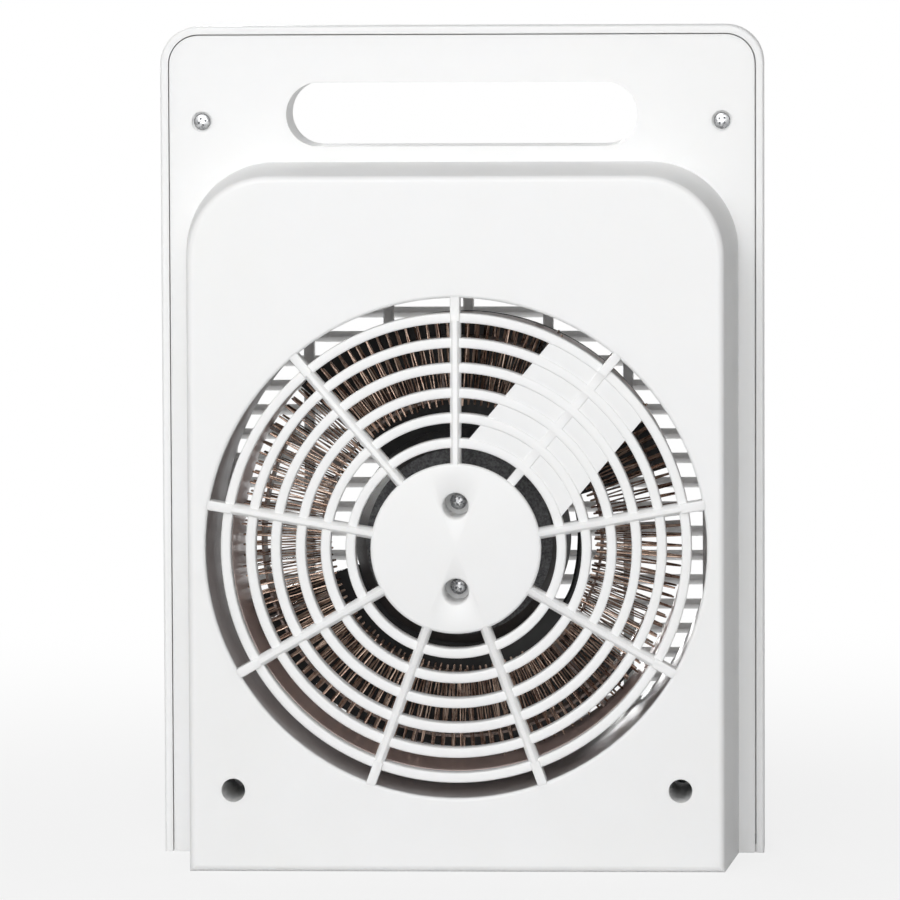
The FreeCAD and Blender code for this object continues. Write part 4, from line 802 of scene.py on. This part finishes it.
low_spoke = lofted("low_spoke", [
    bar_section(distance, LOW_SPOKE_TOP, LOW_SPOKE_EDGE)
    for distance in (HUB_RADIUS - LOW_SPOKE_ROOT, LOW_SPOKE_END)])
for item in (shield, low_spoke):
    item.data.transform(shield_turn)
hub = lathed("intake_grille", [
    (0, hub_low), (HUB_RADIUS - HUB_CHAMFER, hub_low), (HUB_RADIUS, hub_low + HUB_CHAMFER),
    *arc(HUB_RADIUS - HUB_EDGE, HUB_TOP - HUB_EDGE, HUB_EDGE, 0, 90), (0, HUB_TOP)], HUB_STEPS)
posts = []
bores = []
for side in (-1, 1):
    post = lathed("post", [
        (0, POST_FOOT), (POST_RADIUS, POST_FOOT), (POST_RADIUS, POST_TOP), (0, POST_TOP)], WELL_STEPS)
    bore = lathed("bore", [
        (0, WELL_FLOOR), (WELL_RADIUS, WELL_FLOOR), (WELL_RADIUS, HUB_TOP - WELL_MOUTH),
        (WELL_RADIUS + MOUTH_BEND_OUT, HUB_TOP - MOUTH_BEND_DROP), (WELL_RADIUS + WELL_MOUTH, HUB_TOP),
        (WELL_RADIUS + WELL_MOUTH, HUB_TOP + CUT_MARGIN), (0, HUB_TOP + CUT_MARGIN)], WELL_STEPS)
    for item in (post, bore):
        item.data.transform(Matrix.Translation((0, side * WELL_OFFSET, 0)))
    posts.append(post)
    bores.append(bore)
bpy.data.objects.remove(spoke)
bpy.data.objects.remove(bar)
combined(hub, [*posts, rings, flange, spokes, outer_bars, shield, low_spoke])
combined(hub, bores, "DIFFERENCE")
fitted(hub, on_axis, white_abs, "case", "white_abs", "rear_grille")

# Rear cover: the rear half of the case, a flat plate with the handle slot and a drafted intake hump.
# Moulded in the same white ABS and set inside the front shell's rim with a hairline gap.

dress(white_abs, "rear_cover")

# Screws: pan heads with a cross recess; two at the top, two deep in the foot and two in the hub's wells.
# Rolled from steel wire and plated with bright zinc.

HEAD_RADIUS = 2.6
HEAD_HEIGHT = 1.3
HEAD_EDGE = 0.75
EDGE_LEVEL = 0.45
EDGE_TURN = 62
SEAT_CHAMFER = 0.1
CROWN_RADIUS = 0.9
CROWN_DROP = 0.03
SCREW_STEPS = 40
SHANK_RADIUS = 1.5
TIP_RADIUS = 0.5
TIP_LENGTH = 2.5
RECESS_FLOOR = (0.75, 0.24, 0.25)
RECESS_MOUTH = (1.65, 0.36, HEAD_HEIGHT + 0.2)

# Zinc plate is bright, with a fine grey mottle that breaks up its highlights.
zinc, tree, shader = new_material("bright_zinc_plate", Metallic=1.0)
dull = patches(tree, 0.8, detail=3.0)
tint(tree, shader, dull, "#8F9092", "#C6C7C8")
polish(tree, shader, dull, 0.22, 0.36)

pair_sizes = {
    "x": 0.0, "y": 0.0, "level": 0.0, "step_x": 0.0, "step_y": 0.0, "first_turn": 0.0, "turn": 0.0}
pair_tree, size = new_tree("screw_pair", pair_sizes, repeats=True)
start = add_node(pair_tree, "ShaderNodeCombineXYZ", {"X": size["x"], "Y": size["y"], "Z": size["level"]})
step = add_node(pair_tree, "ShaderNodeCombineXYZ", {"X": size["step_x"], "Y": size["step_y"]})
row = add_node(pair_tree, "GeometryNodeMeshLine", {
    "Count": 2, "Start Location": start.outputs[0], "Offset": step.outputs[0]})
index = add_node(pair_tree, "GeometryNodeInputIndex").outputs[0]
turn = add_node(pair_tree, "ShaderNodeMath", {
    0: index, 1: size["turn"], 2: size["first_turn"]}, operation="MULTIPLY_ADD").outputs[0]
turn = add_node(pair_tree, "ShaderNodeCombineXYZ", {"Z": turn})
screws = add_node(pair_tree, "GeometryNodeInstanceOnPoints", {
    "Points": row.outputs[0], "Instance": size["Blank"], "Rotation": turn.outputs[0]})
close_tree(pair_tree, screws.outputs[0], zinc)


def new_screw(length):
    """One pan-head screw, its head's seat at height 0, with a cross recess sunk in it."""
    screw = lathed("screw", [
        (0, -length), (TIP_RADIUS, -length), (SHANK_RADIUS, TIP_LENGTH - length), (SHANK_RADIUS, 0),
        (HEAD_RADIUS - SEAT_CHAMFER, 0), (HEAD_RADIUS, SEAT_CHAMFER),
        *arc(HEAD_RADIUS - HEAD_EDGE, EDGE_LEVEL, HEAD_EDGE, 0, EDGE_TURN, 5),
        (CROWN_RADIUS, HEAD_HEIGHT - CROWN_DROP), (0, HEAD_HEIGHT)], SCREW_STEPS)
    slots = []
    for quarter in (0, 1):
        slot = lofted("slot", [
            [(-reach, -width, level), (reach, -width, level), (reach, width, level), (-reach, width, level)]
            for reach, width, level in (RECESS_FLOOR, RECESS_MOUTH)])
        slot.data.transform(Matrix.Rotation(math.pi / 2 * quarter, 4, "Z"))
        slots.append(slot)
    return combined(screw, slots, "DIFFERENCE")


# Each screw stopped at its own angle: the first one's, and how much further its partner turned.
for node, first_turn, turn in (("case_screws_top", 0.35, 0.5), ("case_screws_bottom", 0.2, 0.9),
                               ("motor_screws", 0.6, 0.75)):
    pair_low, pair_high = (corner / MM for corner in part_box(node))
    left, bottom = pair_low.x + HEAD_RADIUS, pair_low.z + HEAD_RADIUS
    right, top = pair_high.x - HEAD_RADIUS, pair_high.z - HEAD_RADIUS
    seat = pair_high.y - HEAD_HEIGHT
    screw = new_screw(seat - pair_low.y)
    pair = grown(node.replace("screws", "pan_heads"), pair_tree, {
        "x": -right, "y": bottom, "level": seat, "step_x": right - left, "step_y": top - bottom,
        "first_turn": first_turn, "turn": turn}, screw.data)
    bpy.data.objects.remove(screw)
    fitted(pair, REAR_VIEW, zinc, "case", "zinc_screw", node)

# Studio: a white surround and a pale painted floor that keeps the heater's shadow near its foot.
# A broad softbox stands above the camera, one hangs overhead and a low one faces the outlet.
# The camera looks at the intake side through a long lens.

WHITE = (1.0, 1.0, 1.0, 1.0)
FILL_LEFT = 0.31
FILL_RIGHT = 0.2
FILL_EDGE = -0.3
FLOOR_HALF = 6.0
FLOOR_COLOUR = "#CECECE"
SHADOW_REACH = 0.75
FLOOR_GLOW = 0.8
MIDDLE = Vector((0.0, 0.0, 0.13))


def seen_directly(tree):
    """1 where a camera, mirror or glass ray looks, 0 for the rays that only carry light."""
    path = add_node(tree, "ShaderNodeLightPath").outputs
    seen = add_node(tree, "ShaderNodeMath", {0: path["Is Camera Ray"], 1: path["Is Glossy Ray"]},
                    operation="MAXIMUM").outputs[0]
    return add_node(tree, "ShaderNodeMath", {0: seen, 1: path["Is Transmission Ray"]},
                    operation="MAXIMUM").outputs[0]


world = bpy.data.worlds.new("white_surround")
bpy.context.scene.world = world
world.use_nodes = True
tree = world.node_tree
background = tree.nodes["Background"]
background.inputs["Color"].default_value = WHITE
direction = add_node(tree, "ShaderNodeTexCoord").outputs["Generated"]
sideways = add_node(tree, "ShaderNodeSeparateXYZ", {0: direction}).outputs["X"]
fill = add_node(tree, "ShaderNodeMapRange", {
    "Value": sideways, "From Min": FILL_EDGE, "To Min": FILL_RIGHT, "To Max": FILL_LEFT}).outputs["Result"]
strength = add_node(tree, "ShaderNodeMapRange", {
    "Value": seen_directly(tree), "To Min": fill, "To Max": 1.0})
tree.links.new(strength.outputs["Result"], background.inputs["Strength"])

floor_mesh = bpy.data.meshes.new("floor")
corners = [(-FLOOR_HALF, -FLOOR_HALF, 0), (FLOOR_HALF, -FLOOR_HALF, 0),
           (FLOOR_HALF, FLOOR_HALF, 0), (-FLOOR_HALF, FLOOR_HALF, 0)]
floor_mesh.from_pydata(corners, [], [(0, 1, 2, 3)])
floor = linked("floor", floor_mesh)

# Matt floor paint shows white, and a part of its own shading near the heater's foot.
floor_paint = bpy.data.materials.new("white_floor_paint")
floor_paint.use_nodes = True
tree = floor_paint.node_tree
tree.nodes.remove(tree.nodes["Principled BSDF"])
matte = add_node(tree, "ShaderNodeBsdfDiffuse", {"Color": linear(FLOOR_COLOUR)})
glow = add_node(tree, "ShaderNodeEmission", {"Color": WHITE, "Strength": 1.0})
place = add_node(tree, "ShaderNodeTexCoord").outputs["Object"]
away = add_node(tree, "ShaderNodeVectorMath", {0: place}, operation="LENGTH").outputs["Value"]
fade = add_node(tree, "ShaderNodeMapRange", {
    "Value": away, "From Max": SHADOW_REACH, "To Min": FLOOR_GLOW, "To Max": 1.0},
    interpolation_type="SMOOTHSTEP").outputs["Result"]
share = add_node(tree, "ShaderNodeMath", {0: seen_directly(tree), 1: fade}, operation="MULTIPLY")
both = add_node(tree, "ShaderNodeMixShader", {
    0: share.outputs[0], 1: matte.outputs[0], 2: glow.outputs[0]})
tree.links.new(both.outputs[0], tree.nodes["Material Output"].inputs["Surface"])
floor_mesh.materials.append(floor_paint)


def lamp(name, place, width, watts):
    """A square softbox that faces the heater and stays out of the picture."""
    light = bpy.data.lights.new(name, "AREA")
    light.size = width
    light.energy = watts
    item = linked(name, light)
    item.location = place
    item.rotation_euler = (MIDDLE - Vector(place)).to_track_quat("-Z", "Y").to_euler()
    item.visible_camera = False


lamp("key_softbox", (0.14, 2.14, 0.7), 1.2, 25.8)
lamp("top_softbox", (0.3, 1.3, 1.5), 0.9, 7.2)
lamp("outlet_softbox", (0.42, -1.75, 0.3), 0.44, 17)

LENS_MM = 281.2
SENSOR_MM = 36
VIEW_REACH = 50
CAMERA_PLACE = Vector((-0.1058, 2.206, 0.2893))
CAMERA_AIM = Vector((0.0016, 0.056, 0.1306))
CAMERA_ROLL = -0.004
camera_data = bpy.data.cameras.new("camera")
camera_data.lens = LENS_MM
camera_data.sensor_width = SENSOR_MM
camera_data.clip_end = VIEW_REACH
camera = linked("camera", camera_data)
camera.location = CAMERA_PLACE
look = (CAMERA_AIM - CAMERA_PLACE).to_track_quat("-Z", "Y") @ Quaternion((0, 0, 1), CAMERA_ROLL)
camera.rotation_euler = look.to_euler()
bpy.context.scene.camera = camera
bpy.context.scene.view_settings.view_transform = "Standard"
